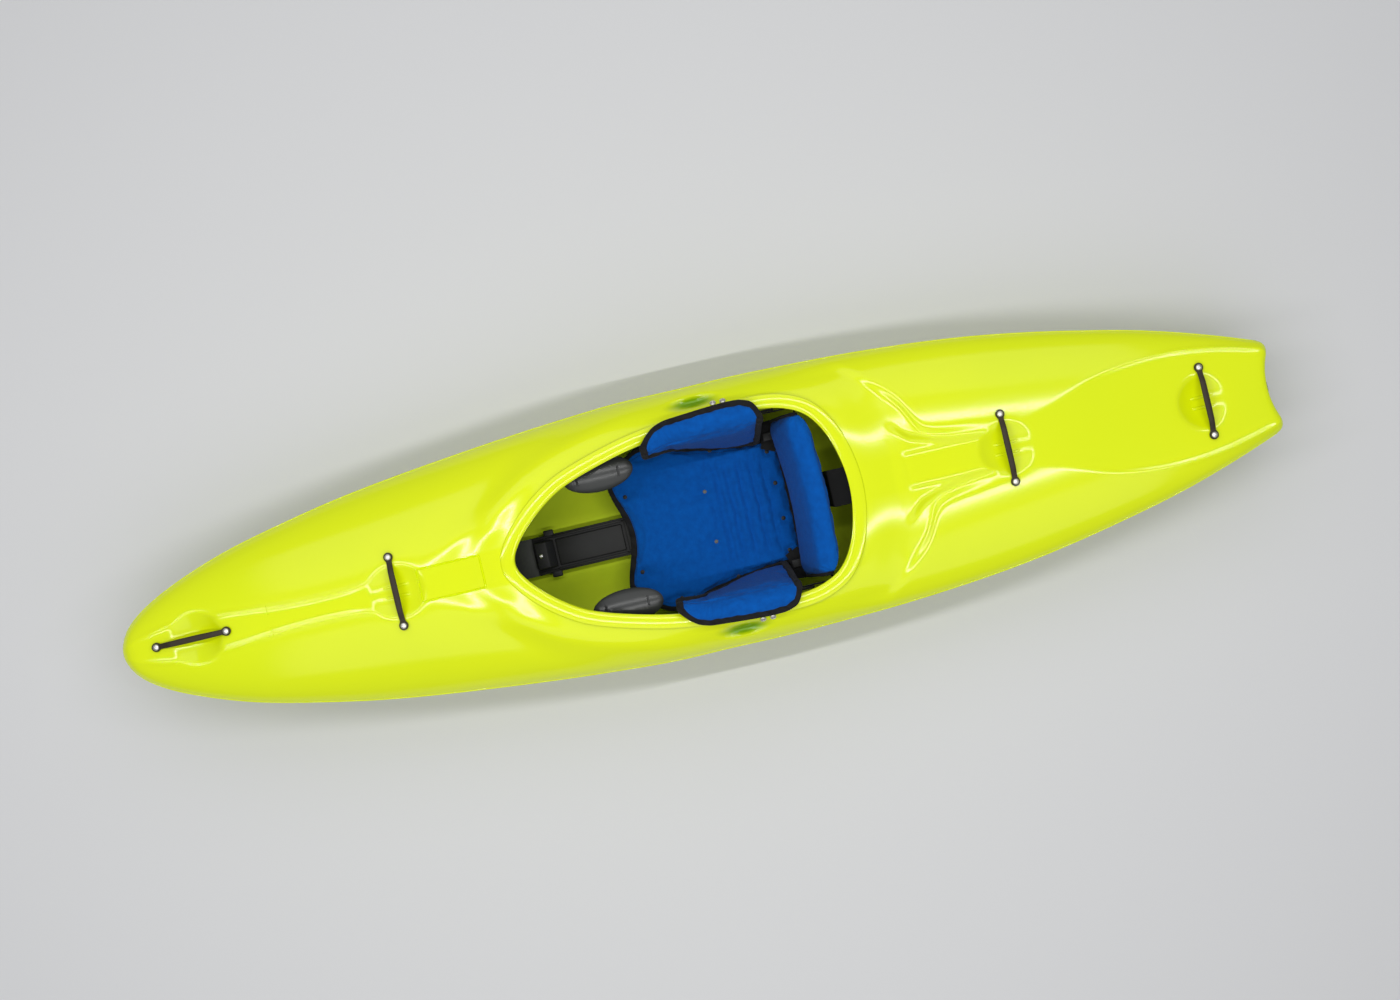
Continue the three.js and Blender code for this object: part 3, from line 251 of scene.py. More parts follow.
# Hip pads
HIP_PAD_FRONT = -92
HIP_PAD_REAR = 192
HIP_PAD_THICKNESS = 20
HIP_PAD_FOOT = 118
HIP_FOOT = [(-92, 176), (-30, 182), (10, 184), (40, 176), (110, 162), (192, 154)]
HIP_EDGE = [
    (-92, 196), (-75, 216), (-55, 232), (-31, 240), (60, 247), (115, 250), (150, 249), (175, 241),
    (185, 226), (192, 206),
]
HIP_WALL = 194.3
HIP_WALL_GAP = 12
SEAT_TRAVEL = 60
HIP_PAD_LIFT = 8
HIP_PAD_CURL = 22
HIP_FRONT_DROP = 26
HIP_CORNER_CUT = 15
HIP_SEAM = 0.62
HIP_SEAM_HALF = 0.008
HIP_SEAM_SPREAD = 0.02
HIP_SEAM_DROP = 3
HIP_FRONT_REACH = (-62, 22)
HIP_FRONT_UNCURL = 9

# Back band
BAND_WIDTH = 388
BAND_HEIGHT = 165
BAND_PLACE = 228
BAND_FOOT = 126
BAND_LEAN = 48
BAND_BOW = 13

# Corner straps
CORNER_ROUTE = [(203, 128, 101), (208, 140, 103), (212, 156, 106), (213, 178, 110), (212, 199, 114)]
STRAP_SECTION = (19, 1.3, 12, 5)
BUCKLE_ENDS = (196, 228)
BUCKLE_SIDES = (150, 172)
BUCKLE_LEVELS = (103, 115)

# Thigh braces
BRACE_LENGTH = 172
BRACE_WIDTH = 84
BRACE_THICKNESS = 14
BRACE_CROWN = 10
BRACE_PLACE = -214
BRACE_OFFSET = 162
BRACE_RAIL_OFFSET = 222
BRACE_RAIL_LEVEL = 288
BRACE_FIT = 0.5
BRACE_TAB_HALF = 35
BRACE_TAB_THICKNESS = 8
BRACE_TAB_SIDES = (BRACE_OFFSET + 21, BRACE_RAIL_OFFSET + 9)
BRACE_SLOTS = (BRACE_PLACE - 52, BRACE_PLACE + 50)
BRACE_SLOT_OFFSET = BRACE_OFFSET - 4
BRACE_SLOT_FORM = (3, 13, 2.9)
BRACE_HOLE_RADIUS = 3.3

# Cover of the floor rail: name, place beside the middle, half width, ends, levels and edge
RAIL_BLOCKS = [
    ("panel", 0, 33, (-366, -196), (-1, 6.5), 2.4),
    ("ridge", -41, 3, (-372, -192), (0, 8), 2),
    ("tab", -52, 8, (-392, -366), (-2, 5), 3),
    ("ridge", 41, 3, (-372, -192), (0, 8), 2),
    ("tab", 52, 8, (-392, -366), (-2, 5), 3),
]

# Foam behind the seat, and the drain plug
REAR_FOAM_NOSE = 232
REAR_FOAM_STEP = 78
PLUG_LEVEL = 205
PLUG_SHANK = 24
PLUG_PROFILE = [
    (7.6, -PLUG_SHANK), (9, 1.5 - PLUG_SHANK), (9, 0), (16.2, 0), (17, 0.9), (17, 3.8), (15.8, 5.4),
    (13.6, 6), (0.5, 6),
]
PLUG_SEAT_DEPTH = 3
PLUG_SEAT_RADIUS = 17.5
PLUG_HOLE_RADIUS = 9.5

# How far the ladder straps run on through their ratchets
STRAP_RUN = 41
STRAP_THINNING = 1.3


# Small helpers for curves and shapes
def read_table(rows, column, place):
    """Smooth curve through the rows of a table, read at places."""
    place = np.clip(np.asarray(place, float), rows[0, 0], rows[-1, 0])
    last = len(rows) - 1
    i = np.clip(np.searchsorted(rows[:, 0], place, side="left") - 1, 0, last - 1)
    before = np.maximum(np.arange(last + 1) - 1, 0)
    after = np.minimum(np.arange(last + 1) + 1, last)
    slope = (rows[after, column] - rows[before, column]) / (rows[after, 0] - rows[before, 0])
    step = rows[i + 1, 0] - rows[i, 0]
    u = (place - rows[i, 0]) / step
    rest = 1 - u
    ends = rows[i, column] * rest ** 2 * (1 + 2 * u) + rows[i + 1, column] * u ** 2 * (1 + 2 * rest)
    return ends + step * u * rest * (slope[i] * rest - slope[i + 1] * u)


def smooth_step(low, high, value):
    u = np.clip((np.asarray(value, float) - low) / (high - low), 0, 1)
    return u * u * (3 - 2 * u)


def along(pairs, value):
    """Straight lines through (place, height) pairs, read at values."""
    places, heights = zip(*pairs)
    return np.interp(value, places, heights)


def eased(pairs, reach=24, step=4):
    """The same lines with their corners rounded over a reach."""
    x = np.arange(pairs[0][0] - 2 * reach, pairs[-1][0] + 2 * reach, step, dtype=float)
    weight = np.hanning(2 * reach // step + 3)
    y = np.pad(along(pairs, x), len(weight) // 2, mode="edge")
    return list(zip(x, np.convolve(y, weight / weight.sum(), mode="valid")))


def bell(value, spread):
    return np.exp(-(np.asarray(value, float) / spread) ** 2)


# Deck forms
def opening_outline(steps):
    """Front point first, round the +Y side and back along the -Y side."""
    share = (1 - np.cos(np.pi * np.arange(steps + 1) / steps)) / 2
    half = np.maximum(read_table(OPENING_SHARES, 1, share), 0)
    for row, from_tip in ((OPENING_SHARES[1], share), (OPENING_SHARES[-2], 1 - share)):
        reach = abs(row[0] - round(row[0]))
        half = np.where(from_tip < reach, row[1] * np.sqrt(from_tip / reach), half)
    side = np.stack([COCKPIT_FRONT + share * COCKPIT_LENGTH, half * COCKPIT_WIDTH / 2], axis=1)
    return np.concatenate([side, side[1:-1][::-1] * [1, -1]])


def offset_outline(outline, distance):
    run = np.roll(outline, -1, axis=0) - np.roll(outline, 1, axis=0)
    run /= np.linalg.norm(run, axis=1, keepdims=True)
    return outline + np.stack([-run[:, 1], run[:, 0]], axis=1) * distance


scoop_edge, wedge_edge, scoop_fall = (eased(v) for v in (SCOOP_EDGE, WEDGE_EDGE, SCOOP_FALL))
crest_fade, edge_fade = eased(CREST_FADE, 48), eased(EDGE_FADE, 32)
opening = opening_outline(OUTLINE_STEPS)
lip_outline = offset_outline(opening, LIP_WIDTH)


def distance_to(line, x, y):
    """Distance in plan from a line of points, up to the far distance."""
    found = np.full(x.shape, FAR)
    for (ax, ay), (bx, by) in zip(line[:-1], line[1:]):
        rx, ry = bx - ax, by - ay
        u = np.clip(((x - ax) * rx + (y - ay) * ry) / (rx * rx + ry * ry), 0, 1)
        found = np.minimum(found, np.hypot(x - ax - rx * u, y - ay - ry * u))
    return found


def distance_outside(x, y):
    """Distance in plan from the lip's outline, 0 inside it."""
    x, y = np.broadcast_arrays(np.asarray(x, float), np.abs(np.asarray(y, float)))
    result = np.full(x.shape, FAR)
    side = lip_outline[:OUTLINE_STEPS + 1]
    near = (x > side[0, 0] - FAR / 2) & (x < side[-1, 0] + FAR / 2)
    px, py = x[near], y[near]
    found = distance_to(side, px, py)
    inside = py < np.interp(px, side[:, 0], side[:, 1], left=-1, right=-1)
    result[near] = np.where(inside, 0, found)
    return result


def recess_share(x, off):
    """1 in the middle of a side recess and 0 past its edge."""
    reach = np.hypot((x - RECESS_PLACE) / (RECESS_LENGTH / 2), (off - RECESS_OFFSET) / (RECESS_WIDTH / 2))
    return 1 - smooth_step(0, 1, reach)


def deck_forms(x, y):
    """Pedestal under the coaming, knee shoulders, the scoop with its channels, and the side recesses."""
    x, y = np.broadcast_arrays(np.asarray(x, float), np.asarray(y, float))
    off = np.abs(y)
    outside = distance_outside(x, y)
    crest = CREST_RISE * bell(distance_to(CREST_LINE, x, off), CREST_SPREAD) * along(crest_fade, x)
    foot = PEDESTAL_RISE * (1 - smooth_step(0, PEDESTAL_WIDTH, outside))
    beside = smooth_step(*SHOULDER_FRONT, x) * (1 - smooth_step(*SHOULDER_REAR, x))
    beside = beside * smooth_step(*SHOULDER_SIDES, off)
    shoulder = SHOULDER_RISE * bell(outside - SHOULDER_PLACE, SHOULDER_SPREAD) * beside
    outer = 1 - smooth_step(-STEP_HALF, STEP_HALF, off - along(scoop_edge, x))
    wedge = 1 - smooth_step(-WEDGE_HALF, WEDGE_HALF, off - along(wedge_edge, x))
    wedge = wedge * smooth_step(*WEDGE_FRONT, x)
    scoop = smooth_step(*SCOOP_LEAD, x) * along(scoop_fall, x) * outer * (1 - wedge)
    scoop = scoop * (1 - SCOOP_SIDE_LOSS * smooth_step(*SCOOP_SIDES, off))
    ends = smooth_step(*TONGUE_FRONT, x) * (1 - smooth_step(*TONGUE_REAR, x))
    tongue = TONGUE_RISE * (1 - smooth_step(*TONGUE_SIDES, off)) * ends
    recess = RECESS_DEPTH * recess_share(x, off)
    return foot + shoulder + crest + tongue - scoop - recess


def station_at(place, inset):
    """Everything that stations of the hull need, with the skin set in by a distance."""
    place = np.asarray(place, float)
    row = {name: read_table(STATION_SHARES, i + 1, place) for i, name in enumerate(
        ["beam", "keel", "side", "ridge", "deck_full", "bottom_full", "flat"])}
    nose = np.minimum(place * HULL_LENGTH / BOW_ROUND, 1)
    nose_round = np.sqrt(1 - (1 - nose) ** 2)
    edge = np.maximum(1 - (1 - place) * HULL_LENGTH / STERN_ROUND, 0)
    stern_inset = STERN_ROUND * (1 - np.sqrt(1 - edge ** 2))
    side = row["side"] * DECK_PEAK
    half = np.maximum(row["beam"] * np.sqrt(place) * HULL_BEAM / 2 - inset - stern_inset, 0.01)
    keel_drop = (side - np.maximum(row["keel"], 0) * DECK_PEAK) * nose_round
    deck_rise = (row["ridge"] * DECK_PEAK - side) * nose_round
    x = place * HULL_LENGTH - HULL_LENGTH / 2
    return {
        "x": x,
        "half": half,
        "side": side,
        "keel": side - keel_drop + inset + stern_inset,
        "ridge": side + deck_rise - inset - stern_inset,
        "deck_full": row["deck_full"],
        "bottom_full": row["bottom_full"],
        "flat": row["flat"] * half + FLARE_WIDTH * bell(x - FRONT_HANDLE, FLARE_SPREAD),
        "notch": STERN_NOTCH * smooth_step(NOTCH_START_SHARE, 1, place),
        "inset": inset,
    }


def bare_deck(st, y):
    share = np.minimum(np.maximum(np.abs(y), st["flat"]) / st["half"], 1)
    crown = (1 - share ** st["deck_full"]) ** (1 / st["deck_full"])
    fade = smooth_step(0, 1 / 3, crown)
    edge = EDGE_RISE * bell(np.abs(y) - st["flat"], EDGE_SPREAD) * along(edge_fade, st["x"])
    return st["side"] + (st["ridge"] - st["side"]) * crown + (deck_forms(st["x"], y) + edge) * fade


def soft_min(a, b, softness):
    return (a + b - np.sqrt((a - b) ** 2 + softness ** 2)) / 2


def deck_height(st, y):
    """Deck with the dish under each grab handle."""
    z = bare_deck(st, y)
    for name, centre, _span, _way in HANDLES:
        top = dish_tops[name] - st["inset"]
        r = np.hypot(st["x"] - centre, y)
        r, inside = np.minimum(r, DISH_BALL * 0.98), r < 2 * DISH_RADIUS
        dish = top - DISH_DEPTH + DISH_BALL - np.sqrt(DISH_BALL ** 2 - r ** 2)
        z = np.where(inside, soft_min(z, dish, DISH_SOFTNESS), z)
    return z


dish_tops = {}
for handle_name, handle_x, _span, _way in HANDLES:
    at = station_at(np.array([handle_x / HULL_LENGTH + 0.5]), 0)
    dish_tops[handle_name] = float(bare_deck(at, np.zeros(1))[0])


def bottom_height(st, y):
    share = np.minimum(np.abs(y) / st["half"], 1)
    depth = st["side"] - st["keel"]
    rise = depth * (1 - (1 - share ** st["bottom_full"]) ** (1 / st["bottom_full"]))
    flat_rise = np.minimum(BOTTOM_FLAT_RISE, depth / 4)
    return st["keel"] + np.maximum(rise - flat_rise, 0) * depth / (depth - flat_rise)


def deck_at(x, y):
    """Deck level at one point of the plan."""
    st = station_at(np.array([x / HULL_LENGTH + 0.5]), 0)
    return float(deck_height(st, np.array([float(y)]))[0])


def on_deck(x, y, lift=0):
    """Points on the deck above points of the plan."""
    x, y = np.broadcast_arrays(np.asarray(x, float), np.asarray(y, float))
    return np.column_stack([x, y, deck_height(station_at(x / HULL_LENGTH + 0.5, 0), y) + lift])


# Mesh helpers
def placed(name, data):
    """Object of a mesh, lamp or camera in the scene."""
    obj = bpy.data.objects.new(name, data)
    bpy.context.scene.collection.objects.link(obj)
    return obj


def new_object(name, points, faces, material=None):
    """Object of a mesh drawn in millimetres."""
    mesh = bpy.data.meshes.new(name)
    points = np.asarray(points, float) * MM
    mesh.from_pydata(points.tolist(), [], [list(map(int, f)) for f in faces])
    mesh.validate()
    if material:
        mesh.materials.append(material)
    return placed(name, mesh)


def grid_faces(rows, columns, close_rows=False, close_columns=False, first=0):
    """Quads over a grid of points stored row by row."""
    r = np.arange(rows if close_rows else rows - 1)
    c = np.arange(columns if close_columns else columns - 1)
    r, c = np.meshgrid(r, c, indexing="ij")
    r2, c2 = (r + 1) % rows, (c + 1) % columns
    quads = np.stack([r * columns + c, r * columns + c2, r2 * columns + c2, r2 * columns + c], axis=-1)
    return (quads.reshape(-1, 4) + first).tolist()


def outwards(obj):
    """Turns the faces of a closed mesh outwards."""
    bm = bmesh.new()
    bm.from_mesh(obj.data)
    bmesh.ops.remove_doubles(bm, verts=bm.verts, dist=1e-6)
    bmesh.ops.recalc_face_normals(bm, faces=bm.faces)
    if bm.calc_volume(signed=True) < 0:
        bmesh.ops.reverse_faces(bm, faces=bm.faces)
    bm.to_mesh(obj.data)
    bm.free()
    return obj


def shade(obj, angle=None):
    """Smooth shading, with edges past an angle in degrees left sharp."""
    obj.data.shade_smooth()
    if angle:
        obj.data.set_sharp_from_angle(angle=math.radians(angle))
    return obj


def apply_modifiers(obj):
    """Bakes the live modifiers into the mesh and removes them."""
    bpy.context.view_layer.update()
    evaluated = obj.evaluated_get(bpy.context.evaluated_depsgraph_get())
    mesh = bpy.data.meshes.new_from_object(evaluated)
    obj.modifiers.clear()
    old = obj.data
    obj.data = mesh
    mesh.name = obj.name
    if old.users == 0:
        bpy.data.meshes.remove(old)
    return obj


def cut(target, tool, operation="DIFFERENCE"):
    """Takes a tool's form out of a piece or joins it on, and removes the tool."""
    modifier = target.modifiers.new("cut", "BOOLEAN")
    modifier.operation = operation
    modifier.solver = "MANIFOLD"
    modifier.material_mode = "TRANSFER"
    modifier.object = tool
    apply_modifiers(target)
    bpy.data.objects.remove(tool)
    return target


def loft(name, rings, material=None, start=None, end=None):
    """Closed skin through rings of equal count, with a fan to a point at each end."""
    rings = np.asarray(rings, float)
    count = rings.shape[1]
    points = rings.reshape(-1, 3)
    start = rings[0].mean(axis=0) if start is None else start
    end = rings[-1].mean(axis=0) if end is None else end
    faces = grid_faces(rings.shape[0], count, close_columns=True)
    tip, tail, last = len(points), len(points) + 1, (rings.shape[0] - 1) * count
    for k in range(count):
        n = (k + 1) % count
        faces.append([tip, n, k])
        faces.append([tail, last + k, last + n])
    obj = new_object(name, np.concatenate([points, [start], [end]]), faces, material)
    return outwards(obj)


def hoop(name, sections, material=None):
    """Closed tube whose sections form a ring."""
    sections = np.asarray(sections, float)
    faces = grid_faces(sections.shape[0], sections.shape[1], True, True)
    return outwards(new_object(name, sections.reshape(-1, 3), faces, material))


def finish_piece(obj, body, nodes=()):
    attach(obj, body)
    if nodes:
        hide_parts(*nodes)
    return obj


# Shader groups and materials, their relief in metres
PLASTIC_RELIEF = 0.0004
CLOTH_RELIEF = 0.0005


def new_group(name, inputs, outputs):
    group = bpy.data.node_groups.new(name, "ShaderNodeTree")
    for socket, kind, value in inputs:
        item = group.interface.new_socket(socket, in_out="INPUT", socket_type=kind)
        if value is not None:
            item.default_value = value
    for socket, kind in outputs:
        group.interface.new_socket(socket, in_out="OUTPUT", socket_type=kind)
    return group, group.nodes.new("NodeGroupInput"), group.nodes.new("NodeGroupOutput")


def feed(tree, value, socket):
    """Links a socket to another one, or sets its own number."""
    if isinstance(value, (int, float)):
        socket.default_value = value
    else:
        tree.links.new(value, socket)


def wires(tree, *links):
    """Links given as (node, output, node, input)."""
    for source, output, target, into in links:
        tree.links.new(source.outputs[output], target.inputs[into])


def math_node(tree, operation, a, b):
    """Math node fed by sockets or numbers, whose result is returned."""
    node = tree.nodes.new("ShaderNodeMath")
    node.operation = operation
    feed(tree, a, node.inputs[0])
    feed(tree, b, node.inputs[1])
    return node.outputs[0]


def noise_node(tree, vector, scale, detail, rough=0.5):
    node = tree.nodes.new("ShaderNodeTexNoise")
    feed(tree, scale, node.inputs["Scale"])
    node.inputs["Detail"].default_value = detail
    node.inputs["Roughness"].default_value = rough
    tree.links.new(vector, node.inputs["Vector"])
    return node.outputs["Fac"]


def ramp_node(tree, factor, low, high):
    """Maps a factor from low to high onto 0 to 1."""
    node = tree.nodes.new("ShaderNodeMapRange")
    node.inputs["From Min"].default_value = low
    node.inputs["From Max"].default_value = high
    tree.links.new(factor, node.inputs["Value"])
    return node.outputs["Result"]


def moulded_skin_group():
    """Fine grain and faint flow of moulded plastic, with hair scratches."""
    group, start, end = new_group(
        "moulded_skin",
        [("Vector", "NodeSocketVector", None), ("Grain scale", "NodeSocketFloat", 900.0),
         ("Flow scale", "NodeSocketFloat", 9.0), ("Scratch share", "NodeSocketFloat", 0.2)],
        [("Height", "NodeSocketFloat"), ("Shade", "NodeSocketFloat"), ("Scratch", "NodeSocketFloat")],
    )
    vector = start.outputs["Vector"]
    grain = noise_node(group, vector, start.outputs["Grain scale"], 2.0)
    flow = noise_node(group, vector, start.outputs["Flow scale"], 3.0)
    stretch = group.nodes.new("ShaderNodeMapping")
    stretch.inputs["Scale"].default_value = (1.4, 26.0, 9.0)
    group.links.new(vector, stretch.inputs["Vector"])
    hair = noise_node(group, stretch.outputs[0], 7.0, 6.0, 0.72)
    thin = ramp_node(group, hair, 0.66, 0.72)
    scratch = math_node(group, "MULTIPLY", thin, start.outputs["Scratch share"])
    rough = math_node(group, "MULTIPLY", grain, 0.3)
    height = math_node(group, "SUBTRACT", rough, math_node(group, "MULTIPLY", scratch, 0.5))
    for socket, value in (("Height", height), ("Shade", flow), ("Scratch", scratch)):
        group.links.new(value, end.inputs[socket])
    return group


def woven_cloth_group():
    """Plain weave from two crossed waves over a piece's own UV map, in metres."""
    group, start, end = new_group(
        "woven_cloth",
        [("Vector", "NodeSocketVector", None), ("Threads per metre", "NodeSocketFloat", 1500.0)],
        [("Height", "NodeSocketFloat"), ("Shade", "NodeSocketFloat")],
    )
    split = group.nodes.new("ShaderNodeSeparateXYZ")
    group.links.new(start.outputs["Vector"], split.inputs[0])
    turn = math_node(group, "MULTIPLY", start.outputs["Threads per metre"], math.pi)
    angles = [math_node(group, "MULTIPLY", split.outputs[axis], turn) for axis in ("X", "Y")]
    crossed = math_node(group, "MULTIPLY", *[math_node(group, "SINE", angle, 0) for angle in angles])
    group.links.new(math_node(group, "MULTIPLY_ADD", crossed, 0.5), end.inputs["Height"])
    group.links.new(noise_node(group, start.outputs["Vector"], 55.0, 4.0, 0.6), end.inputs["Shade"])
    return group


moulded_skin = moulded_skin_group()
woven_cloth = woven_cloth_group()


def new_material(name):
    material = bpy.data.materials.new(name)
    material.use_nodes = True
    tree = material.node_tree
    shader = tree.nodes["Principled BSDF"]
    return material, tree, shader


def bump(tree, shader, height, strength, distance):
    """Relief of a height in the shader's normal."""
    node = tree.nodes.new("ShaderNodeBump")
    node.inputs["Strength"].default_value = strength
    node.inputs["Distance"].default_value = distance
    tree.links.new(height, node.inputs["Height"])
    tree.links.new(node.outputs["Normal"], shader.inputs["Normal"])


def mix_colour(tree, factor, a, b):
    node = tree.nodes.new("ShaderNodeMix")
    node.data_type = "RGBA"
    tree.links.new(factor, node.inputs["Factor"])
    node.inputs["A"].default_value = (*a, 1)
    node.inputs["B"].default_value = (*b, 1)
    return node.outputs["Result"]


def plastic(name, colour, tint, rough, depth=0.15, grain=900.0, flow=9.0, scratch=0.2, rough_swing=0.08,
            gloss=0.5, hollow=None):
    """Moulded plastic: two near colours that drift, fine grain, and hair scratches that dull the gloss; a
    hollow colour, if given, is painted shade mixed in where the hollow attribute is high.
    """
    material, tree, shader = new_material(name)
    place = tree.nodes.new("ShaderNodeTexCoord")
    skin = tree.nodes.new("ShaderNodeGroup")
    skin.node_tree = moulded_skin
    tree.links.new(place.outputs["Object"], skin.inputs["Vector"])
    skin.inputs["Grain scale"].default_value = grain
    skin.inputs["Flow scale"].default_value = flow
    skin.inputs["Scratch share"].default_value = scratch
    drift = ramp_node(tree, skin.outputs["Shade"], 0.3, 0.7)
    tone = mix_colour(tree, drift, colour, tint)
    # Painted shade: the hollow colour darkens the side recesses, weighted by the mesh's hollow attribute
    if hollow:
        mask = tree.nodes.new("ShaderNodeAttribute")
        mask.attribute_name = "hollow"
        recess_shade_tone = mix_colour(tree, mask.outputs["Fac"], colour, hollow)
        tree.links.new(tone, recess_shade_tone.node.inputs["A"])
        tone = recess_shade_tone
    tree.links.new(tone, shader.inputs["Base Color"])
    shader.inputs["Specular IOR Level"].default_value = gloss
    dull = math_node(tree, "MULTIPLY", skin.outputs["Scratch"], 0.25)
    swing = math_node(tree, "MULTIPLY", skin.outputs["Shade"], rough_swing)
    total = math_node(tree, "ADD", math_node(tree, "ADD", swing, dull), rough - rough_swing / 2)
    tree.links.new(total, shader.inputs["Roughness"])
    bump(tree, shader, skin.outputs["Height"], depth, PLASTIC_RELIEF)
    return material


# The shell's hollow colour is painted shade for its side recesses, not a colour of the plastic
shell_plastic = plastic("shell_plastic", (0.73, 0.83, 0.002), (0.69, 0.81, 0.002), 0.14, depth=0.04,
                        grain=700.0, flow=2.2, scratch=0.12, rough_swing=0.05, hollow=(0.16, 0.33, 0.002))
shell_inside = plastic("shell_inside", (0.58, 0.72, 0.002), (0.5, 0.66, 0.002), 0.62, depth=0.3,
                       grain=260.0, gloss=0.25)
handle_plastic = plastic("handle_plastic", (0.028, 0.021, 0.012), (0.04, 0.03, 0.018), 0.5, depth=0.3,
                         gloss=0.22)
black_plastic = plastic("black_plastic", (0.012, 0.012, 0.011), (0.02, 0.02, 0.019), 0.45, depth=0.3,
                        gloss=0.2)
grey_plastic = plastic("grey_plastic", (0.045, 0.048, 0.042), (0.06, 0.062, 0.055), 0.5, depth=0.3,
                       gloss=0.25)
brace_plastic = plastic("brace_plastic", (0.02, 0.021, 0.02), (0.03, 0.032, 0.03), 0.28, depth=0.05)
black_foam = plastic("black_foam", (0.01, 0.01, 0.01), (0.018, 0.018, 0.018), 0.9, depth=0.8, grain=320.0,
                     gloss=0.1)


def steel_material(name, low, high, rough):
    """Brushed metal whose tone drifts between two near colours."""
    material, tree, shader = new_material(name)
    shader.inputs["Metallic"].default_value = 1.0
    place = tree.nodes.new("ShaderNodeTexCoord")
    brushed = noise_node(tree, place.outputs["Object"], 900.0, 3.0, 0.6)
    tree.links.new(mix_colour(tree, brushed, low, high), shader.inputs["Base Color"])
    swing = math_node(tree, "MULTIPLY", brushed, 0.2)
    tree.links.new(math_node(tree, "ADD", swing, rough), shader.inputs["Roughness"])
    return material


bolt_steel = steel_material("bolt_steel", (0.58, 0.56, 0.52), (0.72, 0.7, 0.66), 0.24)
dull_steel = steel_material("dull_steel", (0.09, 0.09, 0.085), (0.14, 0.14, 0.135), 0.45)
rail_aluminium = steel_material("rail_aluminium", (0.46, 0.46, 0.47), (0.56, 0.56, 0.57), 0.3)


def cloth_material(name, colour, tint, threads, depth):
    """Woven cloth whose thread pattern follows the piece's UV map."""
    material, tree, shader = new_material(name)
    place = tree.nodes.new("ShaderNodeUVMap")
    place.uv_map = "cloth"
    weave = tree.nodes.new("ShaderNodeGroup")
    weave.node_tree = woven_cloth
    weave.inputs["Threads per metre"].default_value = threads
    tree.links.new(place.outputs["UV"], weave.inputs["Vector"])
    worn = ramp_node(tree, weave.outputs["Shade"], 0.3, 0.7)
    tree.links.new(mix_colour(tree, worn, colour, tint), shader.inputs["Base Color"])
    shader.inputs["Roughness"].default_value = 0.88
    shader.inputs["Sheen Weight"].default_value = 0.04
    shader.inputs["Specular IOR Level"].default_value = 0.12
    bump(tree, shader, weave.outputs["Height"], depth, CLOTH_RELIEF)
    return material


blue_fabric = cloth_material("blue_fabric", (0.0, 0.07, 0.32), (0.0, 0.09, 0.40), 1400.0, 0.5)
black_webbing = cloth_material("black_webbing", (0.008, 0.008, 0.008), (0.018, 0.018, 0.018), 900.0, 0.8)

NODE_MATERIALS = {
    "shell_plastic": shell_plastic,
    "handle_plastic": handle_plastic,
    "bolt_steel": bolt_steel,
    "black_plastic": black_plastic,
    "grey_plastic": grey_plastic,
    "brace_plastic": brace_plastic,
    "black_foam": black_foam,
    "rail_aluminium": rail_aluminium,
    "blue_fabric": blue_fabric,
    "black_webbing": black_webbing,
}
for subpart in frame["record"]["subparts"]:
    node = frame["nodes"][subpart["node"]]
    node.data.materials.clear()
    node.data.materials.append(NODE_MATERIALS[subpart["material_slot"]])


# Hull shell: steps of its stations, and counts of stations, bottom steps and deck steps of its skins
BOW_STEPS = (1, 3, 6, 11, 18, 27, 38, 50)
STERN_STEPS = (0.35, 0.6, 0.8, 0.92, 1.0)
FACE_STEPS = (0.97, 0.88, 0.74, 0.56, 0.36, 0.16)
FINE_STEP = 4.6
PLAIN_STEP = 10
OUTER_COUNTS = (16, 76)
INNER_COUNTS = (150, 14, 28)
FOAM_COUNTS = (200, 18, 34)


def hull_places():
    """Places of the stations, closer together round each dish and at both ends."""
    x = [-HULL_LENGTH / 2 + d for d in BOW_STEPS]
    at = x[-1]
    stern = HULL_LENGTH / 2 - STERN_ROUND
    while at < stern - 5:
        near = min(abs(at - centre) for _n, centre, _s, _w in HANDLES)
        fine = near < DISH_RADIUS + 12 or SCOOP_EDGE[0][0] - 20 < at < TONGUE_REAR[0]
        fine = fine or abs(at - PANEL_PLACE) < PANEL_LENGTH / 2 + 8
        at += FINE_STEP if fine else PLAIN_STEP
        x.append(min(at, stern))
    x += [stern + STERN_ROUND * share for share in STERN_STEPS]
    return np.array(sorted(set(x))) / HULL_LENGTH + 0.5


def skin_rings(places, inset, bottom_steps, deck_steps):
    st = {k: (v[:, None] if isinstance(v, np.ndarray) else v) for k, v in station_at(places, inset).items()}
    b = np.arange(bottom_steps) / bottom_steps
    low_y = st["half"] * np.sin(np.pi / 2 * b)
    low_z = bottom_height(st, low_y)
    s = np.arange(deck_steps + 1) / deck_steps
    s = 1 - (s - 0.35 * np.sin(2 * np.pi * s) / (2 * np.pi))
    top_y = st["half"] * np.sin(np.pi / 2 * s)
    top_z = deck_height(st, top_y)
    top_z[:, 0] = st["side"][:, 0]
    y = np.concatenate([low_y, top_y], axis=1)
    z = np.concatenate([low_z, top_z], axis=1)
    y = np.concatenate([y, -y[:, 1:-1][:, ::-1]], axis=1)
    z = np.concatenate([z, z[:, 1:-1][:, ::-1]], axis=1)
    x = st["x"] - st["notch"] * (1 - (y / st["half"]) ** 2)
    return np.stack([x, y, z], axis=-1)


def coaming_top(x):
    share = np.clip((x - COCKPIT_FRONT) / COCKPIT_LENGTH, 0, 1)
    return DECK_PEAK + COAMING_RISE - COAMING_FALL * share - 4 * COAMING_DIP * share * (1 - share)


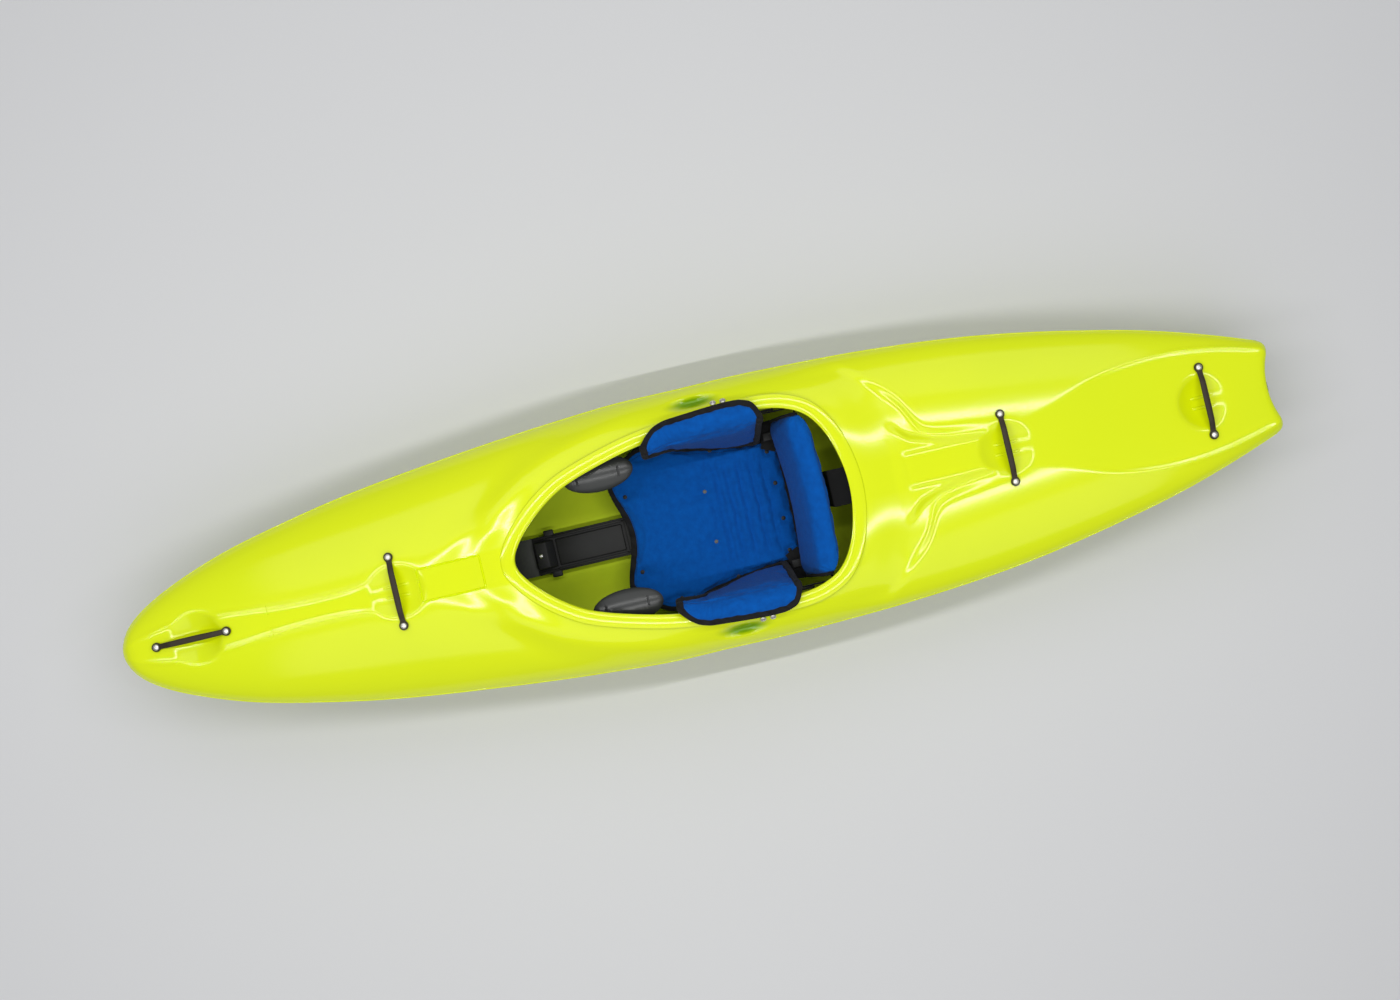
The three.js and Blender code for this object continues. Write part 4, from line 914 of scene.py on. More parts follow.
def coaming_sections():
    """Wall with a rolled lip, its outer edge turned down."""
    profile = [
        (0, "skirt", 0), (COAMING_WALL, "skirt", 0), (COAMING_WALL, "top", -LIP_THICKNESS - 4),
        (COAMING_WALL + 1.2, "top", -LIP_THICKNESS - 1.2), (COAMING_WALL + 4, "top", -LIP_THICKNESS),
        (LIP_WIDTH - 9, "top", -LIP_THICKNESS), (LIP_WIDTH - 6, "top", -LIP_THICKNESS - 1),
        (LIP_WIDTH - 3, "top", -LIP_THICKNESS - 2), (LIP_WIDTH - 1, "top", -LIP_THICKNESS - 1),
        (LIP_WIDTH, "top", -LIP_THICKNESS + 1.5), (LIP_WIDTH - 0.4, "top", -4), (LIP_WIDTH - 2, "top", -2),
        (LIP_WIDTH - 6, "top", -0.7), (LIP_WIDTH - 14, "top", 0), (COAMING_WALL + 6, "top", 0),
        (COAMING_WALL, "top", -0.5), (3, "top", -1.8), (1, "top", -3.6), (0, "top", -6), (0, "top", -14),
    ]
    top = coaming_top(opening[:, 0])
    places = opening[:, 0] / HULL_LENGTH + 0.5
    st = station_at(places, 0)
    skirt = bare_deck(st, opening[:, 1]) - COAMING_SKIRT
    sections = []
    for offset, level, lift in profile:
        ring = offset_outline(opening, offset)
        z = skirt if level == "skirt" else np.maximum(top + lift, skirt + 2 + lift / 100)
        sections.append(np.column_stack([ring, z]))
    return np.stack(sections, axis=1)


def rounded_box_points(x, y, half_x, half_y, radius, steps=6):
    """Outline of a rectangle with round corners."""
    points = []
    for k, (sx, sy) in enumerate([(1, 1), (-1, 1), (-1, -1), (1, -1)]):
        for i in range(steps + 1):
            turn = math.pi / 2 * (k + i / steps)
            points.append((x + sx * (half_x - radius) + radius * math.cos(turn),
                           y + sy * (half_y - radius) + radius * math.sin(turn)))
    return points


def prism(name, outline, levels, material=None):
    """Closed prism through copies of an outline at two levels."""
    outline = np.asarray(outline, float)
    rings = [np.column_stack([outline, np.full(len(outline), level)]) for level in levels]
    return loft(name, rings, material)


def even_points(outline, step):
    """Points at even steps along a closed outline."""
    outline = np.asarray([*outline, outline[0]], float)
    run = np.concatenate([[0], np.cumsum(np.linalg.norm(np.diff(outline, axis=0), axis=1))])
    at = np.linspace(0, run[-1], int(run[-1] / step), endpoint=False)
    return [np.interp(at, run, outline[:, k]) for k in (0, 1)]


def deck_grooves():
    """Rectangular groove of the panel, and a short tick across each edge of the ridge."""
    outline = rounded_box_points(PANEL_PLACE, 0, PANEL_LENGTH / 2, PANEL_WIDTH / 2, 5)
    cuts = [sweep("groove", on_deck(*even_points(outline, 4), 0.8), oval(GROOVE_HALF, GROOVE_DROP, 12),
                  shell_plastic, True)]
    for side in (1, -1):
        y = side * np.linspace(*TICK_ENDS, 12)
        cuts.append(sweep("tick", on_deck(TICK_PLACE, y), oval(2, 2.2, 8), shell_plastic))
    return joined("grooves", cuts)


def dish_ribs():
    """Two short lengthwise ribs in each dish but the bow's."""
    share = np.linspace(-1, 1, 30)
    ribs = []
    for _name, centre, _span, way in HANDLES:
        for side in (1, -1) if way[1] else ():
            path = on_deck(centre + share * RIB_LENGTH / 2, side * RIB_OFFSET, 0.8 - 4 * share ** 8)
            ribs.append(sweep("rib", path, oval(RIB_HALF, RIB_HALF * 0.8, 14), shell_plastic))
    return joined("ribs", ribs)


def build_moulding_line():
    """Thin raised line along each side, where the halves of the mould met, sunk in at its ends."""
    x = np.linspace(-HULL_LENGTH / 2 + 9, HULL_LENGTH / 2 - STERN_ROUND - 4, 220)
    sink = 2.6 * np.abs(np.linspace(-1, 1, len(x))) ** 60
    lines = []
    for side in (1, -1):
        y = side * MOULD_LINE_SHARE * station_at(x / HULL_LENGTH + 0.5, 0)["half"]
        lines.append(sweep("line", on_deck(x, y, -sink), oval(1.7, 1.7, 8), shell_plastic))
    finish_piece(shade(joined("moulding_line", lines)), "hull")


def stern_face(ring):
    """Rings of the hollow face at the stern, from its edge to near the middle."""
    middle = ring[:, 2].mean()
    rings = []
    for share in FACE_STEPS:
        y = ring[:, 1] * share
        x = HULL_LENGTH / 2 - STERN_NOTCH * (1 - (y / ring[:, 1].max()) ** 2)
        rings.append(np.column_stack([x, y, middle + (ring[:, 2] - middle) * share]))
    return rings


def inner_form(name, inset, material, stations, bottom_steps, deck_steps):
    """Closed form of the shell's inside."""
    last = 1 - (SHELL_WALL + STERN_ROUND) / HULL_LENGTH
    places = np.linspace(INNER_FIRST_SHARE, last, stations)
    return loft(name, skin_rings(places, inset, bottom_steps, deck_steps), material)


def build_shell():
    rings = skin_rings(hull_places(), 0, *OUTER_COUNTS)
    bow_tip = [-HULL_LENGTH / 2, 0, float(station_at(np.zeros(1), 0)["side"][0])]
    stern = HULL_LENGTH / 2 - STERN_NOTCH
    stern_middle = [stern, 0, rings[-1][:, 2].mean()]
    rings = np.concatenate([rings, stern_face(rings[-1])])
    outer = loft("hull_shell_form", rings, shell_plastic, start=bow_tip, end=stern_middle)
    cut(outer, inner_form("inner_skin", SHELL_WALL, shell_inside, *INNER_COUNTS))
    cut(outer, prism("mouth", opening, (DECK_PEAK / 2, DECK_PEAK * 1.5)))
    cut(outer, hoop("coaming", coaming_sections()), "UNION")
    cut(outer, dish_ribs(), "UNION")
    cut(outer, deck_grooves())
    for radius, inner_end in ((PLUG_SEAT_RADIUS, PLUG_SEAT_DEPTH), (PLUG_HOLE_RADIUS, 60)):
        middle = (stern - inner_end + 50, 0, PLUG_LEVEL)
        cut(outer, rod("plug_seat", middle, (1, 0, 0), radius, 100, 48, shell_plastic))
    outer.name = "moulded_shell"
    shade(outer, 32)
    # Painted shade: the hollow attribute grows towards the middle of each side recess on the deck and darkens
    # the shell's colour there
    co = places_of(outer)
    mask = outer.data.attributes.new("hollow", "FLOAT", "POINT")
    depth = np.clip(1.5 * recess_share(co[:, 0], np.abs(co[:, 1])), 0, 1)
    mask.data.foreach_set("value", depth * (co[:, 2] > DECK_PEAK / 2))
    finish_piece(outer, "hull", ["hull_shell"])


def node_box(node):
    """Low and high corner of a node in millimetres."""
    return [np.array(corner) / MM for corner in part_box(node)]


brace_level = node_box("thigh_brace_right")[0][2] + BRACE_FIT
body_of = {node: body for body, nodes in frame["record"]["behaviour"]["bodies"].items() for node in nodes}


# Shapes that several pieces share
def bevelled(obj, width, segments, angle=30):
    """Rounds the edges past an angle in degrees."""
    bevel = obj.modifiers.new("edge", "BEVEL")
    bevel.width = width * MM
    bevel.segments = segments
    bevel.limit_method = "ANGLE"
    bevel.angle_limit = math.radians(angle)
    return apply_modifiers(obj)


def rounded_copy(node, name, width, angle=35, segments=2, run=0, thinning=0):
    """A node's own shape with its hard edges rounded, its front end moved on and made thinner."""
    source = frame["nodes"][node]
    mesh = source.data.copy()
    obj = placed(name, mesh)
    bm = bmesh.new()
    bm.from_mesh(mesh)
    bmesh.ops.remove_doubles(bm, verts=bm.verts, dist=1e-5)
    bmesh.ops.dissolve_limit(bm, angle_limit=math.radians(1), verts=bm.verts, edges=bm.edges)
    front = min(v.co.x for v in bm.verts) + 0.1 * MM
    tip = [v for v in bm.verts if v.co.x < front]
    middle = sum(abs(v.co.y) for v in tip) / len(tip)
    for v in tip:
        v.co.x -= run * MM
        if abs(v.co.y) > middle:
            v.co.y -= math.copysign(thinning * MM, v.co.y)
    bm.to_mesh(mesh)
    bm.free()
    bevelled(obj, width, segments, angle)
    shade(obj, angle)
    return finish_piece(obj, body_of[node], [node])


def block(name, low, high, edge, material, segments=3):
    """Box with rounded edges between two corners."""
    bm = bmesh.new()
    bmesh.ops.create_cube(bm, size=1)
    low, high = np.array(low, float), np.array(high, float)
    for v in bm.verts:
        for k in range(3):
            v.co[k] = (low[k] if v.co[k] < 0 else high[k]) * MM
    bmesh.ops.bevel(bm, geom=list(bm.edges), offset=edge * MM, segments=segments, profile=0.5, affect="EDGES")
    mesh = bpy.data.meshes.new(name)
    bm.to_mesh(mesh)
    bm.free()
    mesh.materials.append(material)
    return shade(placed(name, mesh), 40)


def joined(name, objects):
    """One object of several meshes."""
    bm = bmesh.new()
    materials = []
    for obj in objects:
        for material in obj.data.materials:
            if material not in materials:
                materials.append(material)
        part = bmesh.new()
        part.from_mesh(obj.data)
        for face in part.faces:
            face.material_index = materials.index(obj.data.materials[face.material_index])
        piece = bpy.data.meshes.new("piece")
        part.to_mesh(piece)
        part.free()
        bm.from_mesh(piece)
        bpy.data.meshes.remove(piece)
        bpy.data.objects.remove(obj)
    mesh = bpy.data.meshes.new(name)
    bm.to_mesh(mesh)
    bm.free()
    for material in materials:
        mesh.materials.append(material)
    return placed(name, mesh)


def lathe(name, profile, place, axis, sides=24, material=None):
    """Closed turned shape: (radius, height) pairs along an axis."""
    turn = np.linspace(0, 2 * np.pi, sides, endpoint=False)
    axis = Vector(axis).normalized()
    side = axis.orthogonal().normalized()
    other = axis.cross(side)
    rings = []
    for radius, height in profile:
        centre = Vector(place) + axis * height
        one, two = side * radius, other * radius
        rings.append([list(centre + one * math.cos(a) + two * math.sin(a)) for a in turn])
    ends =[list(Vector(place) + axis * profile[k][1]) for k in (0, -1)]
    return loft(name, rings, material, *ends)


def rod(name, place, axis, radius, length, sides=24, material=None):
    """Round bar centred on a place."""
    return lathe(name, [(radius, -length / 2), (radius, length / 2)], place, axis, sides, material)


def frames_along(path, closed=False, up=(0, 0, 1)):
    """Tangent, side and upward direction at each point of a path."""
    path = np.asarray(path, float)
    ahead, behind = np.roll(path, -1, axis=0), np.roll(path, 1, axis=0)
    if not closed:
        ahead[-1], behind[0] = path[-1], path[0]
    tangent = ahead - behind
    tangent /= np.linalg.norm(tangent, axis=1, keepdims=True)
    side = np.cross(np.broadcast_to(np.asarray(up, float), tangent.shape), tangent)
    side /= np.maximum(np.linalg.norm(side, axis=1, keepdims=True), 1e-9)
    return tangent, side, np.cross(tangent, side)


def sweep(name, path, section, material, closed=False, up=(0, 0, 1), normals=None):
    """Section of (side, up) offsets swept along a path."""
    path = np.asarray(path, float)
    tangent, side, rise = frames_along(path, closed, up)
    if normals is not None:
        rise = normals - (normals * tangent).sum(axis=1, keepdims=True) * tangent
        rise /= np.linalg.norm(rise, axis=1, keepdims=True)
        side = np.cross(rise, tangent)
    section = np.asarray(section, float)
    rings = path[:, None] + side[:, None] * section[:, :1] + rise[:, None] * section[:, 1:]
    return (hoop if closed else loft)(name, rings, material)


def oval(half_width, half_height, sides=12, power=2.0):
    """Points round an oval, squarer as its power grows."""
    turn = np.linspace(0, 2 * np.pi, sides, endpoint=False)
    round_part = np.column_stack([np.cos(turn), np.sin(turn)])
    return np.sign(round_part) * np.abs(round_part) ** (2 / power) * [half_width, half_height]


# Geometry Nodes: fasteners set on points, and stitches along seams
def new_tree(name, inputs):
    tree = bpy.data.node_groups.new(name, "GeometryNodeTree")
    tree.interface.new_socket("Geometry", in_out="INPUT", socket_type="NodeSocketGeometry")
    names = {}
    for socket, kind, value in inputs:
        item = tree.interface.new_socket(socket, in_out="INPUT", socket_type=kind)
        if value is not None:
            item.default_value = value
        names[socket] = item.identifier
    tree.interface.new_socket("Geometry", in_out="OUTPUT", socket_type="NodeSocketGeometry")
    return tree, names, tree.nodes.new("NodeGroupInput"), tree.nodes.new("NodeGroupOutput")


def end_tree(tree, geometry, start, end):
    """Every tree ends in plain mesh with its finish."""
    real = tree.nodes.new("GeometryNodeRealizeInstances")
    finish = tree.nodes.new("GeometryNodeSetMaterial")
    tree.links.new(geometry, real.inputs["Geometry"])
    wires(tree, (real, "Geometry", finish, "Geometry"), (start, "Finish", finish, "Material"),
          (finish, "Geometry", end, "Geometry"))


def fastener_tree():
    """A head set on every point, its axis along the point's own direction."""
    tree, names, start, end = new_tree("fasteners", [
        ("Head", "NodeSocketObject", None), ("Size", "NodeSocketFloat", 1.0),
        ("Finish", "NodeSocketMaterial", None)])
    head = tree.nodes.new("GeometryNodeObjectInfo")
    axis = tree.nodes.new("GeometryNodeInputNamedAttribute")
    axis.data_type = "FLOAT_VECTOR"
    axis.inputs["Name"].default_value = "axis"
    turn = tree.nodes.new("FunctionNodeAlignRotationToVector")
    turn.axis = "Z"
    place = tree.nodes.new("GeometryNodeInstanceOnPoints")
    wires(tree, (start, "Head", head, "Object"), (axis, "Attribute", turn, "Vector"),
          (start, "Geometry", place, "Points"), (head, "Geometry", place, "Instance"),
          (turn, "Rotation", place, "Rotation"), (start, "Size", place, "Scale"))
    end_tree(tree, place.outputs["Instances"], start, end)
    return tree, names


def stitch_tree():
    """Short round stitches laid end to end along a seam line."""
    tree, names, start, end = new_tree("stitches", [
        ("Pitch", "NodeSocketFloat", 0.005), ("Length", "NodeSocketFloat", 0.0035),
        ("Thickness", "NodeSocketFloat", 0.0011), ("Finish", "NodeSocketMaterial", None)])
    curve = tree.nodes.new("GeometryNodeMeshToCurve")
    points = tree.nodes.new("GeometryNodeCurveToPoints")
    points.mode = "LENGTH"
    thread = tree.nodes.new("GeometryNodeMeshIcoSphere")
    thread.inputs["Radius"].default_value = 0.5
    thread.inputs["Subdivisions"].default_value = 1
    size = tree.nodes.new("ShaderNodeCombineXYZ")
    place = tree.nodes.new("GeometryNodeInstanceOnPoints")
    wires(tree, (start, "Geometry", curve, "Mesh"), (curve, "Curve", points, "Curve"),
          (start, "Pitch", points, "Length"), (start, "Thickness", size, "X"),
          (start, "Thickness", size, "Y"), (start, "Length", size, "Z"), (points, "Points", place, "Points"),
          (points, "Rotation", place, "Rotation"), (thread, "Mesh", place, "Instance"),
          (size, "Vector", place, "Scale"))
    end_tree(tree, place.outputs["Instances"], start, end)
    return tree, names


fasteners, fastener_inputs = fastener_tree()
stitches, stitch_inputs = stitch_tree()


def run_tree(obj, tree, names, **values):
    modifier = obj.modifiers.new(tree.name, "NODES")
    modifier.node_group = tree
    for socket, value in values.items():
        modifier[names[socket]] = value
    return apply_modifiers(obj)


def set_fasteners(name, places, axes, head, finish, body, nodes=()):
    """Copies of a head on places in millimetres, each along its own axis."""
    obj = new_object(name, places, [])
    axis = obj.data.attributes.new("axis", "FLOAT_VECTOR", "POINT")
    axis.data.foreach_set("vector", np.asarray(axes, float).ravel())
    run_tree(obj, fasteners, fastener_inputs, Head=head, Size=1.0, Finish=finish)
    shade(outwards(obj), 35)
    return finish_piece(obj, body, nodes)


def sew(name, lines, finish, body):
    """Stitches along lines of points in millimetres."""
    points = np.concatenate(lines)
    edges = []
    first = 0
    for line in lines:
        edges += [(first + k, first + k + 1) for k in range(len(line) - 1)]
        first += len(line)
    mesh = bpy.data.meshes.new(name)
    mesh.from_pydata((points * MM).tolist(), edges, [])
    obj = placed(name, mesh)
    run_tree(obj, stitches, stitch_inputs, Finish=finish)
    shade(obj)
    return finish_piece(obj, body)


# Grab handles and bolts
def foot_level(x, y):
    """Level that a flat round foot needs to clear the highest deck under it."""
    turn = np.arange(12) * math.pi / 6
    st = station_at((x + EYE_RADIUS * np.cos(turn)) / HULL_LENGTH + 0.5, 0)
    return float(bare_deck(st, y + EYE_RADIUS * np.sin(turn)).max()) + FIT_GAP


def handle_ends(centre, span, way):
    ends = []
    for side in (-0.5, 0.5):
        x, y = centre + side * span * way[0], side * span * way[1]
        ends.append(np.array([x, y, foot_level(x, y)]))
    return ends


def build_handle(name, centre, span, way):
    """Arched bar, narrow at its necks, with a flat round eye at each end."""
    start, end = handle_ends(centre, span, way)
    half = span / 2
    reach = half + EYE_RADIUS
    u = -reach * np.cos(np.pi * np.linspace(0.012, 0.988, 96))
    far = np.abs(u)
    eye = np.sqrt(np.maximum(EYE_RADIUS ** 2 - (far - half) ** 2, 0))
    bar = BAR_NECK + BAR_SWELL * (1 - (far / half) ** 2)
    soft = BAR_SOFTNESS * (1 - smooth_step(half - EYE_RADIUS, half, far))
    both = (eye + bar + np.sqrt((eye - bar) ** 2 + soft ** 2)) / 2
    width = np.where(far > half, eye, both)
    flat = smooth_step(half - EYE_RADIUS - 10, half - EYE_RADIUS + 2, far)
    thick = BAR_HALF_THICKNESS + (EYE_THICKNESS / 2 - BAR_HALF_THICKNESS) * flat
    power = BAR_POWER + EYE_POWER * flat
    arch = HANDLE_RISE * smooth_step(0, ARCH_LENGTH, half - 5 - far)
    share = (u + half) / span
    foot = start[2] + (end[2] - start[2]) * np.clip(share, 0, 1)
    middle = np.column_stack([centre + u * way[0], u * way[1], foot + EYE_THICKNESS / 2 + arch])
    across = np.array([way[1], way[0], 0])
    rings = []
    for k, point in enumerate(middle):
        section = oval(width[k], thick[k], 28, power[k])
        rings.append(point + section[:, :1] * across + section[:, 1:] * [0, 0, 1])
    handle = loft(name + "_handle_bar", rings, handle_plastic)
    for point in (start, end):
        cut(handle, rod("hole", point, (0, 0, 1), HANDLE_HOLE_RADIUS, 40))
    shade(handle, 50)
    return finish_piece(handle, "hull", [name + "_grab_handle"])


def bolt_head(name, radius, height, socket_radius, shank, material):
    """Domed head with a hexagon socket, its underside at the origin."""
    dome = [(radius * math.cos(a), height * (0.25 + 0.75 * math.sin(a))) for a in np.linspace(0, 1.35, 9)]
    profile = [(SHANK_RADIUS, -shank), (SHANK_RADIUS, 0), (radius - 0.3, 0), (radius, 0.3), *dome,
               (0.6, height)]
    head = lathe(name, profile, (0, 0, 0), (0, 0, 1), 40, material)
    turn = np.arange(6) * math.pi / 3
    hexagon = np.column_stack([np.cos(turn), np.sin(turn)]) * socket_radius
    return cut(head, prism("socket", hexagon, (height - SOCKET_DEPTH, height + 5), material))


def build_bolts():
    head = bolt_head("bolt_head", *BOLT_FORM, bolt_steel)
    places, nodes = [], []
    for name, centre, span, way in HANDLES:
        for i, point in enumerate(handle_ends(centre, span, way)):
            places.append(point + [0, 0, EYE_THICKNESS + FIT_GAP])
            nodes.append(f"{name}_handle_bolt_{i + 1}")
    axes = [(0, 0, 1)] * len(places)
    set_fasteners("handle_bolts", places, axes, head, bolt_steel, "hull", nodes)
    places, axes, nodes = [], [], []
    for side, word in SIDES:
        for i, x in enumerate(SIDE_BOLTS):
            y = side * SIDE_BOLT_OFFSET
            places.append((x, y, deck_at(x, y) + 1.5))
            axes.append((0, side * math.sin(SIDE_BOLT_LEAN), math.cos(SIDE_BOLT_LEAN)))
            nodes.append(f"{word}_side_bolt_{i + 1}")
    set_fasteners("side_bolts", places, axes, head, bolt_steel, "hull", nodes)
    bpy.data.objects.remove(head)


# Soft pieces
def pad_grid(columns, rows):
    """Shares across a pad, closer together near its edges."""
    s, t = np.linspace(0, 1, columns + 1), np.linspace(0, 1, rows + 1)
    s, t = (v - PAD_CROWD * np.sin(2 * np.pi * v) / (2 * np.pi) for v in (s, t))
    return np.meshgrid(s, t, indexing="ij")


def rim_fade(s, t, power):
    across = 1 - np.abs(2 * s - 1) ** power
    down = 1 - np.abs(2 * t - 1) ** power
    return np.sqrt(np.maximum(across * down, 0))


def lay_uv(obj, uv):
    """Cloth UV map with a place for each point of the mesh."""
    corners = np.empty(len(obj.data.loops), int)
    obj.data.loops.foreach_get("vertex_index", corners)
    layer = obj.data.uv_layers.new(name="cloth")
    layer.data.foreach_set("uv", uv[corners].ravel())
    return obj


def edge_mask(shape):
    """Marks the rim of a grid."""
    mask = np.ones(shape, bool)
    mask[1:-1, 1:-1] = False
    return mask


def padded_sheet(name, top, bottom, material):
    """Closed form of an upper and a lower grid that meet along the rim, with its UV map in metres."""
    rows, columns = top.shape[:2]
    ids = np.arange(rows * columns).reshape(rows, columns)
    inner = ~edge_mask((rows, columns))
    low = ids.copy()
    low[inner] = rows * columns + np.arange(inner.sum())
    top = np.where(inner[..., None], top, (top + bottom) / 2)
    points = np.concatenate([top.reshape(-1, 3), bottom[inner]])
    sheets = []
    for sheet in (ids, low[:, ::-1]):
        quads = [sheet[:-1, :-1], sheet[1:, :-1], sheet[1:, 1:], sheet[:-1, 1:]]
        sheets.append(np.stack(quads, axis=-1).reshape(-1, 4))
    obj = new_object(name, points, np.concatenate(sheets), material)
    down = np.linalg.norm(np.diff(top, axis=0), axis=2).mean(axis=1)
    along_u = np.broadcast_to(np.concatenate([[0], np.cumsum(down)])[:, None], (rows, columns))
    step = np.linalg.norm(np.diff(top, axis=1), axis=2)
    along_v = np.concatenate([np.zeros((rows, 1)), np.cumsum(step, axis=1)], axis=1)
    along_v = along_v - along_v[:, -1:] / 2
    uv = np.zeros((len(points), 2))
    for sheet in (low, ids):
        uv[sheet.ravel(), 0] = along_u.ravel() * MM
        uv[sheet.ravel(), 1] = along_v.ravel() * MM
    face_out(lay_uv(obj, uv))
    return obj, ids, low


def face_out(obj):
    """Turns a closed form right side out, its points left in their order."""
    bm = bmesh.new()
    bm.from_mesh(obj.data)
    if bm.calc_volume(signed=True) < 0:
        bmesh.ops.reverse_faces(bm, faces=bm.faces)
    bm.to_mesh(obj.data)
    bm.free()


def places_of(obj):
    co = np.empty(len(obj.data.vertices) * 3)
    obj.data.vertices.foreach_get("co", co)
    return co.reshape(-1, 3) / MM


def swell(obj, sewn, ids, low, pressure, cap, slack):
    """Lets the upper cloth fill out between its seams under air pressure, no point further than the cap."""
    before = places_of(obj)
    pinned = np.concatenate([ids[sewn | edge_mask(sewn.shape)], low[1:-1, 1:-1].ravel()])
    group = obj.vertex_groups.new(name="sewn")
    group.add([int(i) for i in pinned], 1.0, "REPLACE")
    modifier = obj.modifiers.new("cloth", "CLOTH")
    cloth = modifier.settings
    cloth.quality = 5
    cloth.mass = 0.15
    cloth.use_pressure = True
    cloth.uniform_pressure_force = pressure
    cloth.vertex_group_mass = "sewn"
    cloth.shrink_min = -slack
    cloth.bending_stiffness = 0.1
    cloth.effector_weights.gravity = 0
    modifier.point_cache.frame_start = 1
    modifier.point_cache.frame_end = CLOTH_FRAMES
    scene = bpy.context.scene
    for step in range(1, CLOTH_FRAMES + 1):
        scene.frame_set(step)
    evaluated = obj.evaluated_get(bpy.context.evaluated_depsgraph_get())
    after = places_of(evaluated)
    obj.modifiers.clear()
    obj.vertex_groups.clear()
    scene.frame_set(1)
    move = after - before
    size = np.linalg.norm(move, axis=1, keepdims=True)
    after = before + move * np.minimum(1, cap / np.maximum(size, 1e-6))
    obj.data.vertices.foreach_set("co", (after * MM).ravel())
    obj.data.update()


def subdivided(obj):
    modifier = obj.modifiers.new("smooth", "SUBSURF")
    modifier.levels = 1
    modifier.render_levels = 1
    return shade(apply_modifiers(obj))


def finish_pad(pad, body, node):
    subdivided(pad)
    finish_piece(pad, body, [node])


def rim_line(points, ids, smoothing=2):
    """Points round the rim of a pad's grid, its corners eased."""
    loop = np.concatenate([ids[:-1, 0], ids[-1, :-1], ids[:0:-1, -1], ids[0, :0:-1]])
    line = points[loop]
    for _ in range(smoothing):
        line = (np.roll(line, 1, axis=0) + 2 * line + np.roll(line, -1, axis=0)) / 4
    return line


def with_uv(obj):
    """Cloth UV map in metres from the points' own places, for narrow bands and piping."""
    x, y, z = (places_of(obj) * MM).T
    return lay_uv(obj, np.column_stack([x + y, z + y]))


def binding(name, line, halves, body, normals=None, closed=True):
    """Black edge binding wrapped round a pad's rim."""
    piece = sweep(name, line, oval(*halves, 10, 2.6), black_webbing, closed, normals=normals)
    return finish_piece(shade(with_uv(piece)), body)


PAD_WIDTH_SHARES = np.array([
    [0, 0.66], [0.06, 0.78], [0.14, 0.93], [0.22, 1.0], [0.32, 0.97], [0.5, 0.87], [0.75, 0.78], [1, 0.74],
])


def seat_pad_level(y, s):
    rise = PAD_SIDE_RISE * np.abs(y / PAD_HALF_WIDTH) ** 3 + PAD_FRONT_RISE * (1 - s) ** 4
    return SEAT_TOP + FIT_GAP + rise


def build_seat_pad():
    """Broad seat cushion with cross channels and rivets, its front edge drawn in."""
    s, t = pad_grid(110, 64)
    side = 2 * t - 1
    half = PAD_HALF_WIDTH * read_table(PAD_WIDTH_SHARES, 1, s)
    x = PAD_FRONT + PAD_LENGTH * s + PAD_NOTCH * (1 - side ** 2) ** 2 * (1 - s) ** 6
    y = half * side
    level = seat_pad_level(y, s)
    from_channels = [x - (CHANNEL_PLACE + k * CHANNEL_PITCH) for k in range(CHANNEL_COUNT)]
    channels = sum(bell(off, CHANNEL_SPREAD) for off in from_channels)
    channels = channels * (1 - smooth_step(*CHANNEL_ENDS, np.abs(side)))
    dips = sum(bell(np.hypot(x - px, y - py), RIVET_SPREAD) for px, py in SEAT_RIVETS)
    body = PAD_CROWN * rim_fade(s, t, 7)
    rise = PAD_EDGE + body - CHANNEL_DROP * channels * rim_fade(s, t, 3) - RIVET_DROP * dips
    top = np.stack([x, y, level + rise], axis=-1)
    bottom = np.stack([x, y, level + PAD_EDGE * (1 - rim_fade(s, t, 12)) / 2], axis=-1)
    pad, ids, low = padded_sheet("seat_cushion", top, bottom, blue_fabric)
    sewn = (np.min(np.abs(from_channels), axis=0) < SEAM_HALF) & (np.abs(side) < SEAM_REACH)
    for px, py in SEAT_RIVETS:
        sewn |= np.hypot(x - px, y - py) < RIVET_SEAM
    swell(pad, sewn, ids, low, *SEAT_AIR)
    points = places_of(pad)
    rim = rim_line(points, ids)
    upper = points[ids]
    finish_pad(pad, "seat", "seat_pad")
    binding("seat_cushion_binding", rim, SEAT_BINDING, "seat")
    lines = [line + [0, 0, 0.3] for line in (upper[3:-3, 4], upper[3:-3, -5], upper[3, 4:-4])]
    sew("seat_cushion_stitches", lines, black_webbing, "seat")
    head = lathe("rivet_head", RIVET_PROFILE, (0, 0, 0), (0, 0, 1), 28, black_plastic)
    flat = upper.reshape(-1, 3)
    for name, rivets, finish, slot in (
        ("seat_rivets", SEAT_RIVETS[:10], black_plastic, "black_plastic"),
        ("seat_middle_rivets", SEAT_RIVETS[10:], dull_steel, "bolt_steel"),
    ):
        places = []
        for px, py in rivets:
            nearest = flat[np.hypot(flat[:, 0] - px, flat[:, 1] - py).argmin()]
            places.append((px, py, nearest[2] + 0.2))
        set_fasteners(name, places, [(0, 0, 1)] * len(places), head, finish, "seat")
    bpy.data.objects.remove(head)


def smooth_path(points, count):
    """Smooth line through a few places."""
    points = np.asarray(points, float)
    t = np.linspace(0, 1, count)
    return np.column_stack([spline_at([np.full(count, v) for v in points[:, k]], t) for k in range(3)])


def spline_at(points, t):
    """Smooth curve through a few points, each an array over the stations."""
    last = len(points) - 1
    place = np.clip(t, 0, 1) * last
    i = np.minimum(place.astype(int), last - 1)
    w = place - i
    stack = np.stack(points)
    pick = lambda k: np.take_along_axis(stack, np.clip(k, 0, last)[None], axis=0)[0]
    p0, p1, p2, p3 = (pick(i + k) for k in (-1, 0, 1, 2))
    v0, v1 = (p2 - p0) / 2, (p3 - p1) / 2
    return (2 * p1 - 2 * p2 + v0 + v1) * w ** 3 + (3 * p2 - 3 * p1 - 2 * v0 - v1) * w ** 2 + v0 * w + p1


